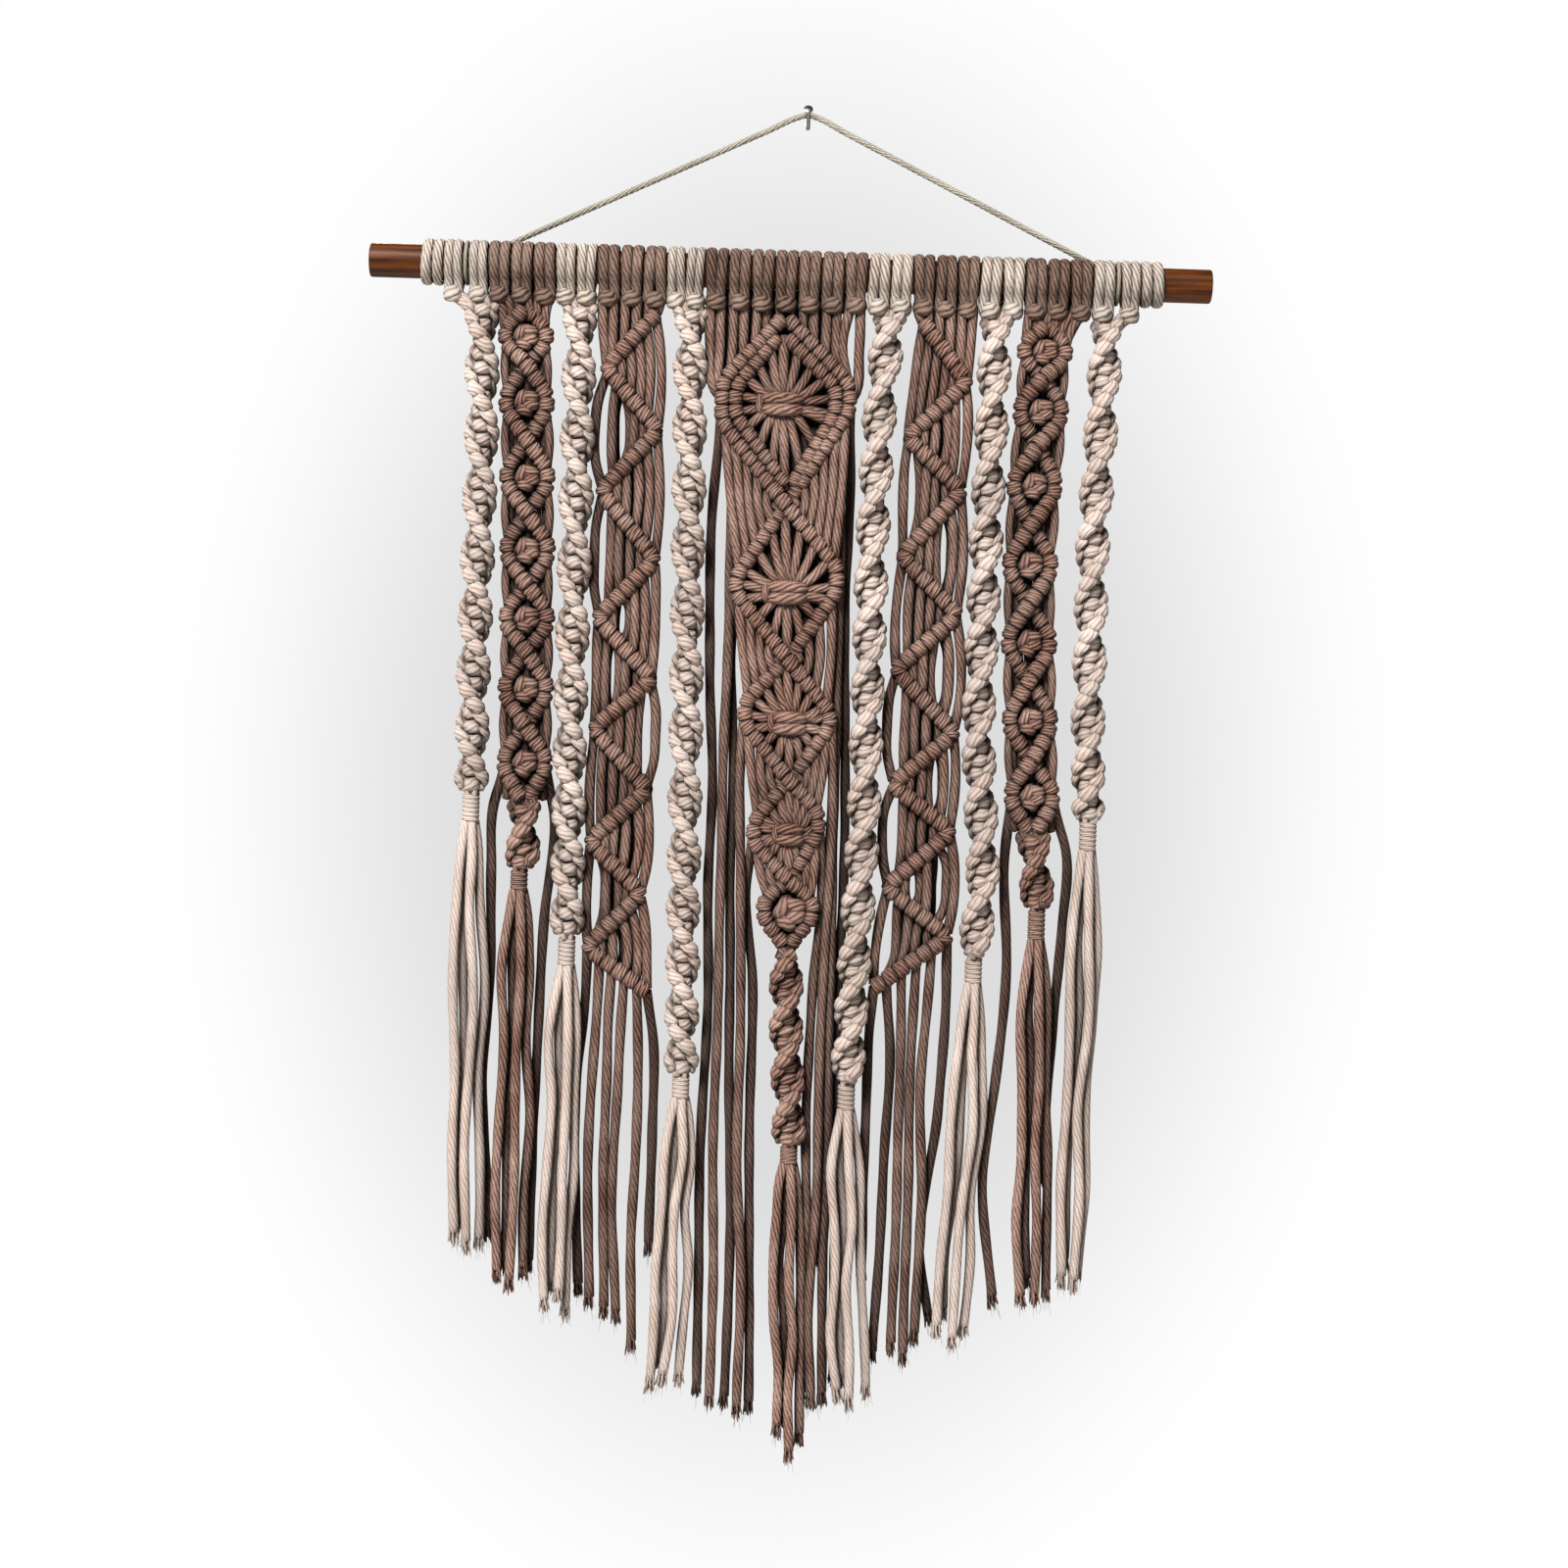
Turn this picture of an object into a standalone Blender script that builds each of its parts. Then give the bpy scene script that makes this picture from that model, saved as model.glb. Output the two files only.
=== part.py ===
# A macrame wall hanging: cream and mocha cotton cord knotted on a wooden dowel.
# A thin cord, tied to the dowel behind the knots at both sides, hangs it from a nail.
# Metres, +Z up. X runs along the dowel, the front faces -Y and the wall is the plane Y = 0.
# The origin is the middle of the nail's tail, where it meets the wall.

import math
from collections import namedtuple

import bmesh
import bpy
from mathutils import Vector

# Driving sizes
GAP = 0.0003  # between pieces that touch
CORD_RADIUS = 0.0022  # the soft cotton cord, a little squashed
DOWEL_LENGTH = 0.400
DOWEL_RADIUS = 0.008
DOWEL_CHAMFER = 0.0008
DOWEL_X = -0.00585  # the dowel's middle, seen from the nail
DOWEL_Z = -0.073
DOWEL_DEPTH = 0.015  # from the wall to the dowel's axis
PLANE = 0.019  # from the wall to the middle of the knotted work
BEHIND = 0.0098  # from the wall to the ends that hang behind it
HALF_BEHIND = 0.0144

# Heading: the cords' turns on the dowel, and the bar that their knots make under it
TURN_RADIUS = 0.0108
SLEEVE_APOTHEM = DOWEL_RADIUS + GAP
BAR_BACK = 0.0154
BAR_FRONT = 0.0224
BAR_BOTTOM = 0.0177
BAR_ROUND = 0.0008
WORK_TOP = BAR_BOTTOM + GAP
LOOP_ROOM = 0.0013  # half the gap that a hanger loop lies in

# Hanger and nail
HANGER_RADIUS = 0.0015
LOOP_HALF_WIDTH = 0.0010
LOOP_OUTER = 0.0109
KNOT_RADIUS = 0.0019
KNOT_REACH = 0.0129  # from the dowel's axis to the knot's middle
STEM_START = 0.78  # share of that reach, inside the loop
NAIL_RADIUS = 0.0011
NAIL_HEAD_RADIUS = 0.0022
NAIL_HEAD_THICK = 0.0008
NAIL_LENGTH = 0.0136
NAIL_TILT = math.radians(28)
HANGER_ON_NAIL = 0.004  # from the wall to the cord on the nail
SHOULDER = (0.0040, -0.0011)  # where the cord runs straight again, from its top
ARM_STEPS = 17

# Knotted work
RIBBON_HALF_WIDTH = {"cotton_cream": 0.0079, "cotton_mocha": 0.0076}
RIBBON_HALF_THICK = 0.0048
RIBBON_SECTIONS = 3  # from one wide place to the next
RIBBON_ENDS = (0.85, 0.55)  # shares of its full size at the first and last rows
BAND_RADIUS = 0.0034  # a row of double half hitches on its leader
STAR_HALF_THICK = 0.0017
STAR_KNOT_HALF_THICK = 0.0040
STAR_KNOT_HEIGHT = 0.6  # share of its width
MOST_MITRE = 1.15  # how far a corner may stand out, as the cord rounds it
NECK_RADIUS = 0.0044
DIAMOND_HALF = 0.0102  # of the narrow columns, at the leaders' middle
BERRY = (0.0076, 0.0044, 0.0066)  # half sizes along X, Y and Z, out to the leaders
TASSEL_ROOT = 0.0035  # the short block that a tassel's four ends leave
TASSEL_HALF_DEPTH = 0.0027  # from the tassel's middle to the ends in front or behind
TASSEL_BENDS = ((0.12, 0.10), (0.45, 0.55), (1.0, 1.0))  # shares of the way down and sideways
TASSEL_SPREAD = 6  # the ends part towards the front and back in the first sixth

# Distances from the wall inside the work
HEADING_CORDS = PLANE - 0.0005  # cords as they leave the heading
TUCKED = PLANE - 0.0010  # cords where a row of hitches holds them
SLACK = PLANE - 0.0004  # slack cords halfway over a gap, and the cords that radiate
BERRY_DEPTH = PLANE + 0.0006
STAR_KNOT_DEPTH = PLANE + 0.0010
LEAVING = PLANE - 0.0060  # side ends as they pass behind a column
SIDE_ENDS = BEHIND + 0.0015

# Slack cords: their shares of the way from a row's start to its end, and how far they bow out
ZIGZAG_SLACK = (0.14, 0.50)
ZIGZAG_BOW = 0.0016
ZIGZAG_TOP_CORDS = (0.50, 0.93)  # cords from the heading to the first row
CENTRE_SLACK = (0.45, 0.40)  # in the row above and in the row below
CENTRE_BOW = 0.0014
RAIL_OUT = 0.0006  # side cords of a narrow column, outside its diamonds

COTTON_ROUGHNESS = 0.92
FINISHES = {
    # name: (linear colour, roughness, metallic)
    "cotton_cream": ((0.75, 0.64, 0.56), COTTON_ROUGHNESS, 0.0),
    "cotton_mocha": ((0.29, 0.16, 0.12), COTTON_ROUGHNESS, 0.0),
    "cotton_natural": ((0.52, 0.46, 0.38), COTTON_ROUGHNESS, 0.0),
    "wood_oiled": ((0.17, 0.065, 0.022), 0.55, 0.0),
    "steel": ((0.42, 0.42, 0.43), 0.35, 1.0),
}

# Groups of turns, left to right; each starts where the last one ends. The bar is missing under the
# extra turns at both ends, and loop marks a group that a hanger loop follows.
Group = namedtuple("Group", "colour end bar loop")
HEADING_START = -0.1750
HEADING = (
    Group("cotton_cream", -0.1645, False, False),
    Group("cotton_cream", -0.1539, True, True),
    Group("cotton_cream", -0.1433, True, False),
    Group("cotton_mocha", -0.1112, True, False),
    Group("cotton_cream", -0.0917, True, False),
    Group("cotton_mocha", -0.0586, True, False),
    Group("cotton_cream", -0.0405, True, False),
    Group("cotton_mocha", 0.0368, True, False),
    Group("cotton_cream", 0.0582, True, False),
    Group("cotton_mocha", 0.0898, True, False),
    Group("cotton_cream", 0.1112, True, False),
    Group("cotton_mocha", 0.1433, True, False),
    Group("cotton_cream", 0.1552, True, True),
    Group("cotton_cream", 0.1660, True, False),
    Group("cotton_cream", 0.1768, False, False),
)
LOOPS = (
    # name, x, turn of the knot from straight up towards the wall
    ("hanger_loop_left", -0.1539, math.radians(75)),
    ("hanger_loop_right", 0.1552, math.radians(63)),
)

# Half-knot spirals. spine is (x, drop) down the middle, first the drop of the first wide place;
# pitch is the drop from one wide place to the next and turn the sense of the twist. neck ends the
# binding under the spiral.
# tips are the four ends: front left, front right, back left, back right.
Spiral = namedtuple("Spiral", "name colour first pitch turn spine neck tips")
SPIRALS = (
    Spiral(
        "s1", "cotton_cream", 0.0224, 0.0280, -1,
        ((-0.1459, 0.0180), (-0.1441, 0.0810), (-0.1444, 0.2000), (-0.1436, 0.2513)),
        0.2652,
        ((-0.1449, 0.4660), (-0.1390, 0.4700), (-0.1430, 0.4610), (-0.1333, 0.4690)),
    ),
    Spiral(
        "s2", "cotton_cream", 0.0228, 0.0287, -1,
        ((-0.0993, 0.0180), (-0.0984, 0.1100), (-0.0977, 0.2200), (-0.0960, 0.3181)),
        0.3321,
        ((-0.1012, 0.4966), (-0.0945, 0.4922), (-0.0990, 0.4890), (-0.0913, 0.5013)),
    ),
    Spiral(
        "s3", "cotton_cream", 0.0201, 0.0274, -1,
        ((-0.0468, 0.0180), (-0.0450, 0.1040), (-0.0424, 0.2400), (-0.0398, 0.3819)),
        0.3931,
        ((-0.0498, 0.5330), (-0.0438, 0.5296), (-0.0470, 0.5240), (-0.0364, 0.5308)),
    ),
    Spiral(
        "s4", "cotton_cream", 0.0180, 0.0253, 1,
        ((0.0476, 0.0180), (0.0441, 0.0680), (0.0428, 0.1250), (0.0430, 0.2600), (0.0389, 0.3836)),
        0.3961,
        ((0.0387, 0.5348), (0.0446, 0.5387), (0.0420, 0.5300), (0.0526, 0.5344)),
    ),
    Spiral(
        "s5", "cotton_cream", 0.0429, 0.0265, 1,
        ((0.0983, 0.0180), (0.0967, 0.1250), (0.0957, 0.2150), (0.1004, 0.2820), (0.0972, 0.3222)),
        0.3342,
        ((0.0851, 0.5026), (0.0925, 0.5084), (0.0880, 0.4950), (0.0982, 0.5036)),
    ),
    Spiral(
        "s6", "cotton_cream", 0.0422, 0.0265, 1,
        ((0.1509, 0.0180), (0.1494, 0.0720), (0.1473, 0.1250), (0.1477, 0.2080), (0.1494, 0.2553)),
        0.2697,
        ((0.1434, 0.4775), (0.1490, 0.4790), (0.1450, 0.4700), (0.1512, 0.4754)),
    ),
    Spiral(
        "s7", "cotton_mocha", 0.2793, 0.0230, 1,
        ((-0.1184, 0.2560), (-0.1180, 0.2793), (-0.1196, 0.2868)),
        0.2970,
        ((-0.1240, 0.4832), (-0.1180, 0.4877), (-0.1210, 0.4800), (-0.1120, 0.4820)),
    ),
    Spiral(
        "s8", "cotton_mocha", 0.2882, 0.0230, 1,
        ((0.1235, 0.2636), (0.1261, 0.2882), (0.1264, 0.2979)),
        0.3128,
        ((0.1242, 0.4874), (0.1310, 0.4860), (0.1270, 0.4800), (0.1367, 0.4851)),
    ),
    Spiral(
        "s9", "cotton_mocha", 0.3380, 0.0227, 1,
        ((0.0083, 0.3223), (0.0093, 0.3594), (0.0109, 0.3822), (0.0125, 0.4138)),
        0.4226,
        ((0.0109, 0.5525), (0.0170, 0.5644), (0.0130, 0.5480), (0.0217, 0.5568)),
    ),
)

# Narrow columns of diamonds: their crossings, as (x, drop), and the two ends that leave the last
# diamond's sides, as (x, drop) down to their tips.
Column = namedtuple("Column", "name crossings left_end right_end")
COLUMNS = (
    Column(
        "column_left",
        (
            (-0.1252, 0.0214), (-0.1241, 0.0478), (-0.1225, 0.0840), (-0.1213, 0.1189),
            (-0.1202, 0.1528), (-0.1197, 0.1840), (-0.1190, 0.2193), (-0.1184, 0.2542),
        ),
        ((-0.1336, 0.2575), (-0.1336, 0.2868), (-0.1331, 0.3454), (-0.1346, 0.3850), (-0.1292, 0.4653)),
        ((-0.1050, 0.2600), (-0.1075, 0.3100), (-0.1095, 0.3842), (-0.1098, 0.4340), (-0.1101, 0.4801)),
    ),
    Column(
        "column_right",
        (
            (0.1219, 0.0214), (0.1216, 0.0463), (0.1198, 0.0785), (0.1178, 0.1167),
            (0.1181, 0.1539), (0.1192, 0.1902), (0.1214, 0.2283), (0.1234, 0.2617),
        ),
        ((0.1112, 0.2700), (0.1134, 0.3277), (0.1101, 0.3822), (0.1052, 0.4300), (0.1117, 0.4897)),
        ((0.1398, 0.2700), (0.1396, 0.3073), (0.1356, 0.3665), (0.1340, 0.4000), (0.1331, 0.4313)),
    ),
)

# Zigzag columns: the corners of the leader's path, as (x, drop), and the six hanging ends, each
# as its place along the last row (0 to 1), its depth from the wall and its (x, drop) points.
Zigzag = namedtuple("Zigzag", "name corners ends")
ZIGZAGS = (
    Zigzag(
        "zigzag_left",
        (
            (-0.0629, 0.0214), (-0.0864, 0.0484), (-0.0603, 0.0773), (-0.0868, 0.1070),
            (-0.0597, 0.1387), (-0.0867, 0.1671), (-0.0593, 0.1955), (-0.0869, 0.2197),
            (-0.0599, 0.2476), (-0.0870, 0.2732), (-0.0611, 0.2970), (-0.0868, 0.3234),
            (-0.0568, 0.3439),
        ),
        (
            (0.02, BEHIND, ((-0.0872, 0.3480), (-0.0896, 0.3822), (-0.0861, 0.4905))),
            (0.22, HALF_BEHIND, ((-0.0810, 0.3500), (-0.0824, 0.3884), (-0.0803, 0.4959))),
            (0.42, HALF_BEHIND, ((-0.0755, 0.3550), (-0.0755, 0.3850), (-0.0732, 0.5003))),
            (0.62, HALF_BEHIND, ((-0.0693, 0.3600), (-0.0700, 0.3850), (-0.0675, 0.5024))),
            (0.82, HALF_BEHIND, ((-0.0610, 0.3650), (-0.0605, 0.4200), (-0.0596, 0.5161))),
            (0.98, BEHIND, ((-0.0540, 0.3650), (-0.0532, 0.4122), (-0.0530, 0.4700))),
        ),
    ),
    Zigzag(
        "zigzag_right",
        (
            (0.0633, 0.0214), (0.0855, 0.0498), (0.0579, 0.0768), (0.0847, 0.1015),
            (0.0569, 0.1331), (0.0847, 0.1601), (0.0555, 0.1872), (0.0850, 0.2164),
            (0.0557, 0.2416), (0.0848, 0.2630), (0.0545, 0.2905), (0.0850, 0.3132),
            (0.0496, 0.3386),
        ),
        (
            (0.02, BEHIND, ((0.0855, 0.3450), (0.0830, 0.3957), (0.0771, 0.4703), (0.0813, 0.4990))),
            (0.22, HALF_BEHIND, ((0.0760, 0.3500), (0.0743, 0.3834), (0.0750, 0.5080))),
            (0.42, HALF_BEHIND, ((0.0695, 0.3500), (0.0697, 0.4333), (0.0698, 0.5176))),
            (0.62, HALF_BEHIND, ((0.0640, 0.3600), (0.0645, 0.4250), (0.0640, 0.5130))),
            (0.82, BEHIND, ((0.0590, 0.3650), (0.0583, 0.4211), (0.0554, 0.5185))),
            (0.98, BEHIND, ((0.0490, 0.3600), (0.0487, 0.4089), (0.0490, 0.4800))),
        ),
    ),
)

# Centre column, a row for each diamond, with its top, its two sides (where the leader runs
# straight down between two drops) and the middle of its knot. The bottom is the next row's top.
Diamond = namedtuple("Diamond", "top left left_drops right right_drops knot")
CENTRE = (
    Diamond((-0.0019, 0.0214), -0.0310, (0.0527, 0.0722), 0.0303, (0.0525, 0.0656), (-0.0017, 0.0633)),
    Diamond((0.0013, 0.1110), -0.0217, (0.1454, 0.1533), 0.0270, (0.1392, 0.1518), (0.0035, 0.1525)),
    Diamond((0.0046, 0.1840), -0.0155, (0.2043, 0.2150), 0.0259, (0.2086, 0.2156), (0.0065, 0.2143)),
    Diamond((0.0073, 0.2415), -0.0095, (0.2605, 0.2711), 0.0220, (0.2562, 0.2655), (0.0082, 0.2669)),
    Diamond((0.0084, 0.2888), -0.0037, (0.2980, 0.3073), 0.0205, (0.2980, 0.3064), (0.0090, 0.3050)),
)
CENTRE_BOTTOM = (0.0085, 0.3200)
INNER_TOP = (-0.0029, 0.0262)  # of the second row inside the first diamond
INNER_SIDES = (-0.0232, (0.0566, 0.0640), 0.0220, (0.0542, 0.0658))
INNER_BOTTOM = (0.0029, 0.1040)
KNOT_SIZES = (0.0085, 0.0080, 0.0065, 0.0055, 0.0045)  # half widths of the knots, down the column
CENTRE_BARS = (-0.0345, -0.0240, -0.0129, 0.0092, 0.0202, 0.0318)  # cords from the heading
# Ends that the centre column drops, from its diamonds' sides to their tips, as (x, drop)
CENTRE_ENDS = (
    (BEHIND, ((-0.0310, 0.0700), (-0.0333, 0.1100), (-0.0333, 0.2000), (-0.0300, 0.3360), (-0.0278, 0.5370))),
    (
        HALF_BEHIND,
        ((-0.0240, 0.0830), (-0.0282, 0.1200), (-0.0285, 0.2000), (-0.0245, 0.3360), (-0.0215, 0.5410)),
    ),
    (BEHIND, ((-0.0217, 0.1500), (-0.0235, 0.1800), (-0.0228, 0.2400), (-0.0195, 0.3360), (-0.0146, 0.5421))),
    (
        HALF_BEHIND,
        ((-0.0155, 0.2120), (-0.0180, 0.2400), (-0.0150, 0.3360), (-0.0148, 0.4202), (-0.0085, 0.5456)),
    ),
    (BEHIND, ((-0.0095, 0.2690), (-0.0128, 0.2950), (-0.0090, 0.3360), (-0.0075, 0.4200), (-0.0029, 0.5441))),
    (BEHIND, ((0.0303, 0.0630), (0.0335, 0.1000), (0.0335, 0.2000), (0.0336, 0.3360), (0.0371, 0.5298))),
    (HALF_BEHIND, ((0.0240, 0.0790), (0.0285, 0.1150), (0.0290, 0.2000), (0.0285, 0.3360), (0.0318, 0.5379))),
    (BEHIND, ((0.0270, 0.1480), (0.0282, 0.1800), (0.0280, 0.2400), (0.0262, 0.3360), (0.0290, 0.4743))),
    (HALF_BEHIND, ((0.0259, 0.2120), (0.0275, 0.2500), (0.0232, 0.3360), (0.0240, 0.4500), (0.0262, 0.5400))),
    (BEHIND, ((0.0220, 0.2620), (0.0240, 0.2950), (0.0200, 0.3360), (0.0205, 0.4500), (0.0210, 0.5380))),
)


def clear_scene():
    for old in list(bpy.data.objects):
        bpy.data.objects.remove(old, do_unlink=True)


def spot(x, drop, depth=PLANE):
    """A place by its distance from the dowel's middle, below its axis and in front of the wall."""
    return Vector((DOWEL_X + x, -depth, DOWEL_Z - drop))


def finishes():
    made = {}
    for name, (colour, roughness, metallic) in FINISHES.items():
        material = bpy.data.materials.new(name)
        material.use_nodes = True
        shader = material.node_tree.nodes["Principled BSDF"]
        shader.inputs["Base Color"].default_value = (*colour, 1)
        shader.inputs["Roughness"].default_value = roughness
        shader.inputs["Metallic"].default_value = metallic
        material.diffuse_color = (*colour, 1)
        made[name] = material
    return made


def add_object(name, mesh, material):
    mesh.name = name
    mesh.materials.clear()
    mesh.materials.append(material)
    mesh.shade_smooth()
    mesh.set_sharp_from_angle(angle=math.radians(40))
    made = bpy.data.objects.new(name, mesh)
    bpy.context.scene.collection.objects.link(made)
    return made


def finish_mesh(shape):
    bmesh.ops.recalc_face_normals(shape, faces=shape.faces)
    mesh = bpy.data.meshes.new("shape")
    shape.to_mesh(mesh)
    shape.free()
    return mesh


def join_rings(shape, rings, closed=False):
    """Faces between rings of vertices, with a cap at both ends unless the rings go round."""
    pairs = list(zip(rings, rings[1:]))
    if closed:
        pairs.append((rings[-1], rings[0]))
    for low, high in pairs:
        for i in range(len(low)):
            j = (i + 1) % len(low)
            shape.faces.new((low[i], low[j], high[j], high[i]))
    if not closed:
        shape.faces.new(rings[0])
        shape.faces.new(reversed(rings[-1]))


def sweep(points, section, twist=None, scale=None, level_ends=False):
    """A closed solid of one section, (side, front) pairs, along a path in the work's plane."""
    shape = bmesh.new()
    rings = []
    towards_room = Vector((0, -1, 0))
    for i, point in enumerate(points):
        before = (point - points[i - 1]).normalized() if i else None
        after = (points[i + 1] - point).normalized() if i + 1 < len(points) else None
        along = ((before or after) + (after or before)).normalized()
        if level_ends and not (before and after):
            along = Vector((0, 0, -1))
        mitre = 1.0
        if before and after:
            mitre = min(MOST_MITRE, 1 / max(0.1, along.dot(after)))
        front = (towards_room - along * towards_room.dot(along)).normalized()
        side = along.cross(front)
        turn = twist[i] if twist else 0.0
        size = scale[i] if scale else 1.0
        ring = []
        for across, out in section:
            a = (across * math.cos(turn) - out * math.sin(turn)) * size * mitre
            b = (across * math.sin(turn) + out * math.cos(turn)) * size
            ring.append(shape.verts.new(point + side * a + front * b))
        rings.append(ring)
    join_rings(shape, rings)
    return finish_mesh(shape)


def round_section(half_width, half_thick, sides, start=0.0):
    angles = [start + 2 * math.pi * i / sides for i in range(sides)]
    return [(half_width * math.cos(a), half_thick * math.sin(a)) for a in angles]


SQUARE_CORNER = 1.2  # a four-sided section's corner, for the area of a round one
BAND = round_section(BAND_RADIUS * SQUARE_CORNER, BAND_RADIUS * SQUARE_CORNER, 4, math.pi / 4)
STRAND = round_section(CORD_RADIUS * SQUARE_CORNER, CORD_RADIUS * SQUARE_CORNER, 4, math.pi / 4)


def band(places, depth=PLANE):
    return sweep([spot(x, drop, depth) for x, drop in places], BAND)


def strand(places):
    """A strand through (x, drop, depth) places."""
    return sweep([spot(*place) for place in places], STRAND, level_ends=True)


def ball(middle, half, rings=3, sides=8):
    """A closed ball with its own half size along each axis."""
    shape = bmesh.new()
    bmesh.ops.create_uvsphere(shape, u_segments=sides, v_segments=rings, radius=1.0)
    for vertex in shape.verts:
        scaled = [value * size for value, size in zip(vertex.co, half)]
        vertex.co = middle + Vector(scaled)
    return finish_mesh(shape)


def fuse(name, meshes, material):
    """One closed body from solids that run into each other."""
    group = bpy.data.collections.new(name)
    bpy.context.scene.collection.children.link(group)
    helpers = [bpy.data.objects.new(f"{name}_piece", mesh) for mesh in meshes]
    bpy.context.scene.collection.objects.link(helpers[0])
    for helper in helpers[1:]:
        group.objects.link(helper)
    union = helpers[0].modifiers.new("Union", "BOOLEAN")
    union.operation = "UNION"
    union.operand_type = "COLLECTION"
    union.collection = group
    union.solver = "EXACT"
    graph = bpy.context.evaluated_depsgraph_get()
    joined = bpy.data.meshes.new_from_object(helpers[0].evaluated_get(graph))
    for helper in helpers:
        bpy.data.objects.remove(helper)
    bpy.data.collections.remove(group)
    for mesh in meshes:
        bpy.data.meshes.remove(mesh)
    shape = bmesh.new()
    shape.from_mesh(joined)
    bmesh.ops.remove_doubles(shape, verts=shape.verts, dist=0.000002)
    bmesh.ops.dissolve_degenerate(shape, edges=shape.edges, dist=0.000002)
    shape.to_mesh(joined)
    shape.free()
    return add_object(name, joined, material)


def make_dowel(material):
    shape = bmesh.new()
    bmesh.ops.create_cone(
        shape, cap_ends=True, segments=24, radius1=DOWEL_RADIUS, radius2=DOWEL_RADIUS, depth=DOWEL_LENGTH
    )
    dowel = add_object("dowel", finish_mesh(shape), material)
    dowel.rotation_euler = (0, math.pi / 2, 0)
    dowel.location = spot(0, 0, DOWEL_DEPTH)
    bevel = dowel.modifiers.new("Eased ends", "BEVEL")
    bevel.width = DOWEL_CHAMFER
    bevel.segments = 1
    bevel.angle_limit = math.radians(60)


def make_nail(material):
    """A slanting nail whose tail is cut flat by the wall."""
    shape = bmesh.new()
    sides = 10
    along = Vector((0, -math.cos(NAIL_TILT), math.sin(NAIL_TILT)))
    up = Vector((0, math.sin(NAIL_TILT), math.cos(NAIL_TILT)))
    across = Vector((1, 0, 0))
    angles = [2 * math.pi * i / sides for i in range(sides)]
    tail = [
        shape.verts.new((NAIL_RADIUS * math.cos(a), 0, NAIL_RADIUS * math.sin(a) / math.cos(NAIL_TILT)))
        for a in angles
    ]
    rings = [tail]
    head_start = NAIL_LENGTH - NAIL_HEAD_THICK
    for distance, radius in (
        (head_start - NAIL_HEAD_THICK, NAIL_RADIUS),
        (head_start, NAIL_HEAD_RADIUS),
        (NAIL_LENGTH, NAIL_HEAD_RADIUS),
    ):
        middle = along * distance
        rings.append(
            [
                shape.verts.new(middle + across * radius * math.cos(a) + up * radius * math.sin(a))
                for a in angles
            ]
        )
    join_rings(shape, rings)
    add_object("nail", finish_mesh(shape), material)


def sleeve_profile(with_bar):
    """Outer and inner (depth, drop) outlines of the turns on the dowel, and of the bar below."""
    leave = math.radians(2)  # the turns come off the dowel just behind its lowest line
    front = math.asin((BAR_FRONT - DOWEL_DEPTH) / TURN_RADIUS)
    steps = 7
    outer = []
    for i in range(steps + 1):
        angle = front + (2 * math.pi + leave - front) * i / steps
        outer.append((DOWEL_DEPTH + TURN_RADIUS * math.sin(angle), TURN_RADIUS * math.cos(angle)))
    if with_bar:
        outer.append((BAR_BACK, BAR_BOTTOM - BAR_ROUND))
        outer.append((BAR_BACK + BAR_ROUND, BAR_BOTTOM))
        outer.append((BAR_FRONT - BAR_ROUND, BAR_BOTTOM))
        outer.append((BAR_FRONT, BAR_BOTTOM - BAR_ROUND))
    else:
        middle = leave + (front - leave) / 2
        outer.append((DOWEL_DEPTH + TURN_RADIUS * math.sin(middle), TURN_RADIUS * math.cos(middle)))
    inner_radius = SLEEVE_APOTHEM / math.cos(math.pi / steps)
    inner = []
    for depth, drop in outer:
        angle = math.atan2(depth - DOWEL_DEPTH, drop)
        inner.append((DOWEL_DEPTH + inner_radius * math.sin(angle), inner_radius * math.cos(angle)))
    return outer, inner


def make_heading(materials):
    start = HEADING_START
    after_loop = False
    for number, group in enumerate(HEADING, 1):
        low = start + (LOOP_ROOM if after_loop else GAP / 2)
        high = group.end - (LOOP_ROOM if group.loop else GAP / 2)
        outer, inner = sleeve_profile(group.bar)
        shape = bmesh.new()
        rings = []
        for x, outline in ((low, outer), (high, outer), (high, inner), (low, inner)):
            rings.append([shape.verts.new(spot(x, drop, depth)) for depth, drop in outline])
        join_rings(shape, rings, closed=True)
        add_object(f"heading_{number:02d}", finish_mesh(shape), materials[group.colour])
        start = group.end
        after_loop = group.loop


def knot_spot(x, turn):
    return spot(x, -KNOT_REACH * math.cos(turn), DOWEL_DEPTH - KNOT_REACH * math.sin(turn))


def make_loops(material):
    """The hanger's end loops round the dowel, each with its knot at the back."""
    segments = 14
    inner = SLEEVE_APOTHEM / math.cos(math.pi / segments)
    for name, x, turn in LOOPS:
        shape = bmesh.new()
        rings = []
        for i in range(segments):
            angle = 2 * math.pi * i / segments
            ring = []
            for across, radius in (
                (-LOOP_HALF_WIDTH, inner),
                (LOOP_HALF_WIDTH, inner),
                (LOOP_HALF_WIDTH, LOOP_OUTER),
                (-LOOP_HALF_WIDTH, LOOP_OUTER),
            ):
                place = spot(x + across, radius * math.cos(angle), DOWEL_DEPTH + radius * math.sin(angle))
                ring.append(shape.verts.new(place))
            rings.append(ring)
        join_rings(shape, rings, closed=True)
        middle = knot_spot(x, turn)
        axis = spot(x, 0, DOWEL_DEPTH)
        inside = axis + (middle - axis) * STEM_START
        stem = sweep([inside, middle], round_section(LOOP_HALF_WIDTH, LOOP_HALF_WIDTH, 6))
        knot = ball(middle, (KNOT_RADIUS, KNOT_RADIUS, KNOT_RADIUS))
        fuse(name, [finish_mesh(shape), stem, knot], material)


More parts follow.
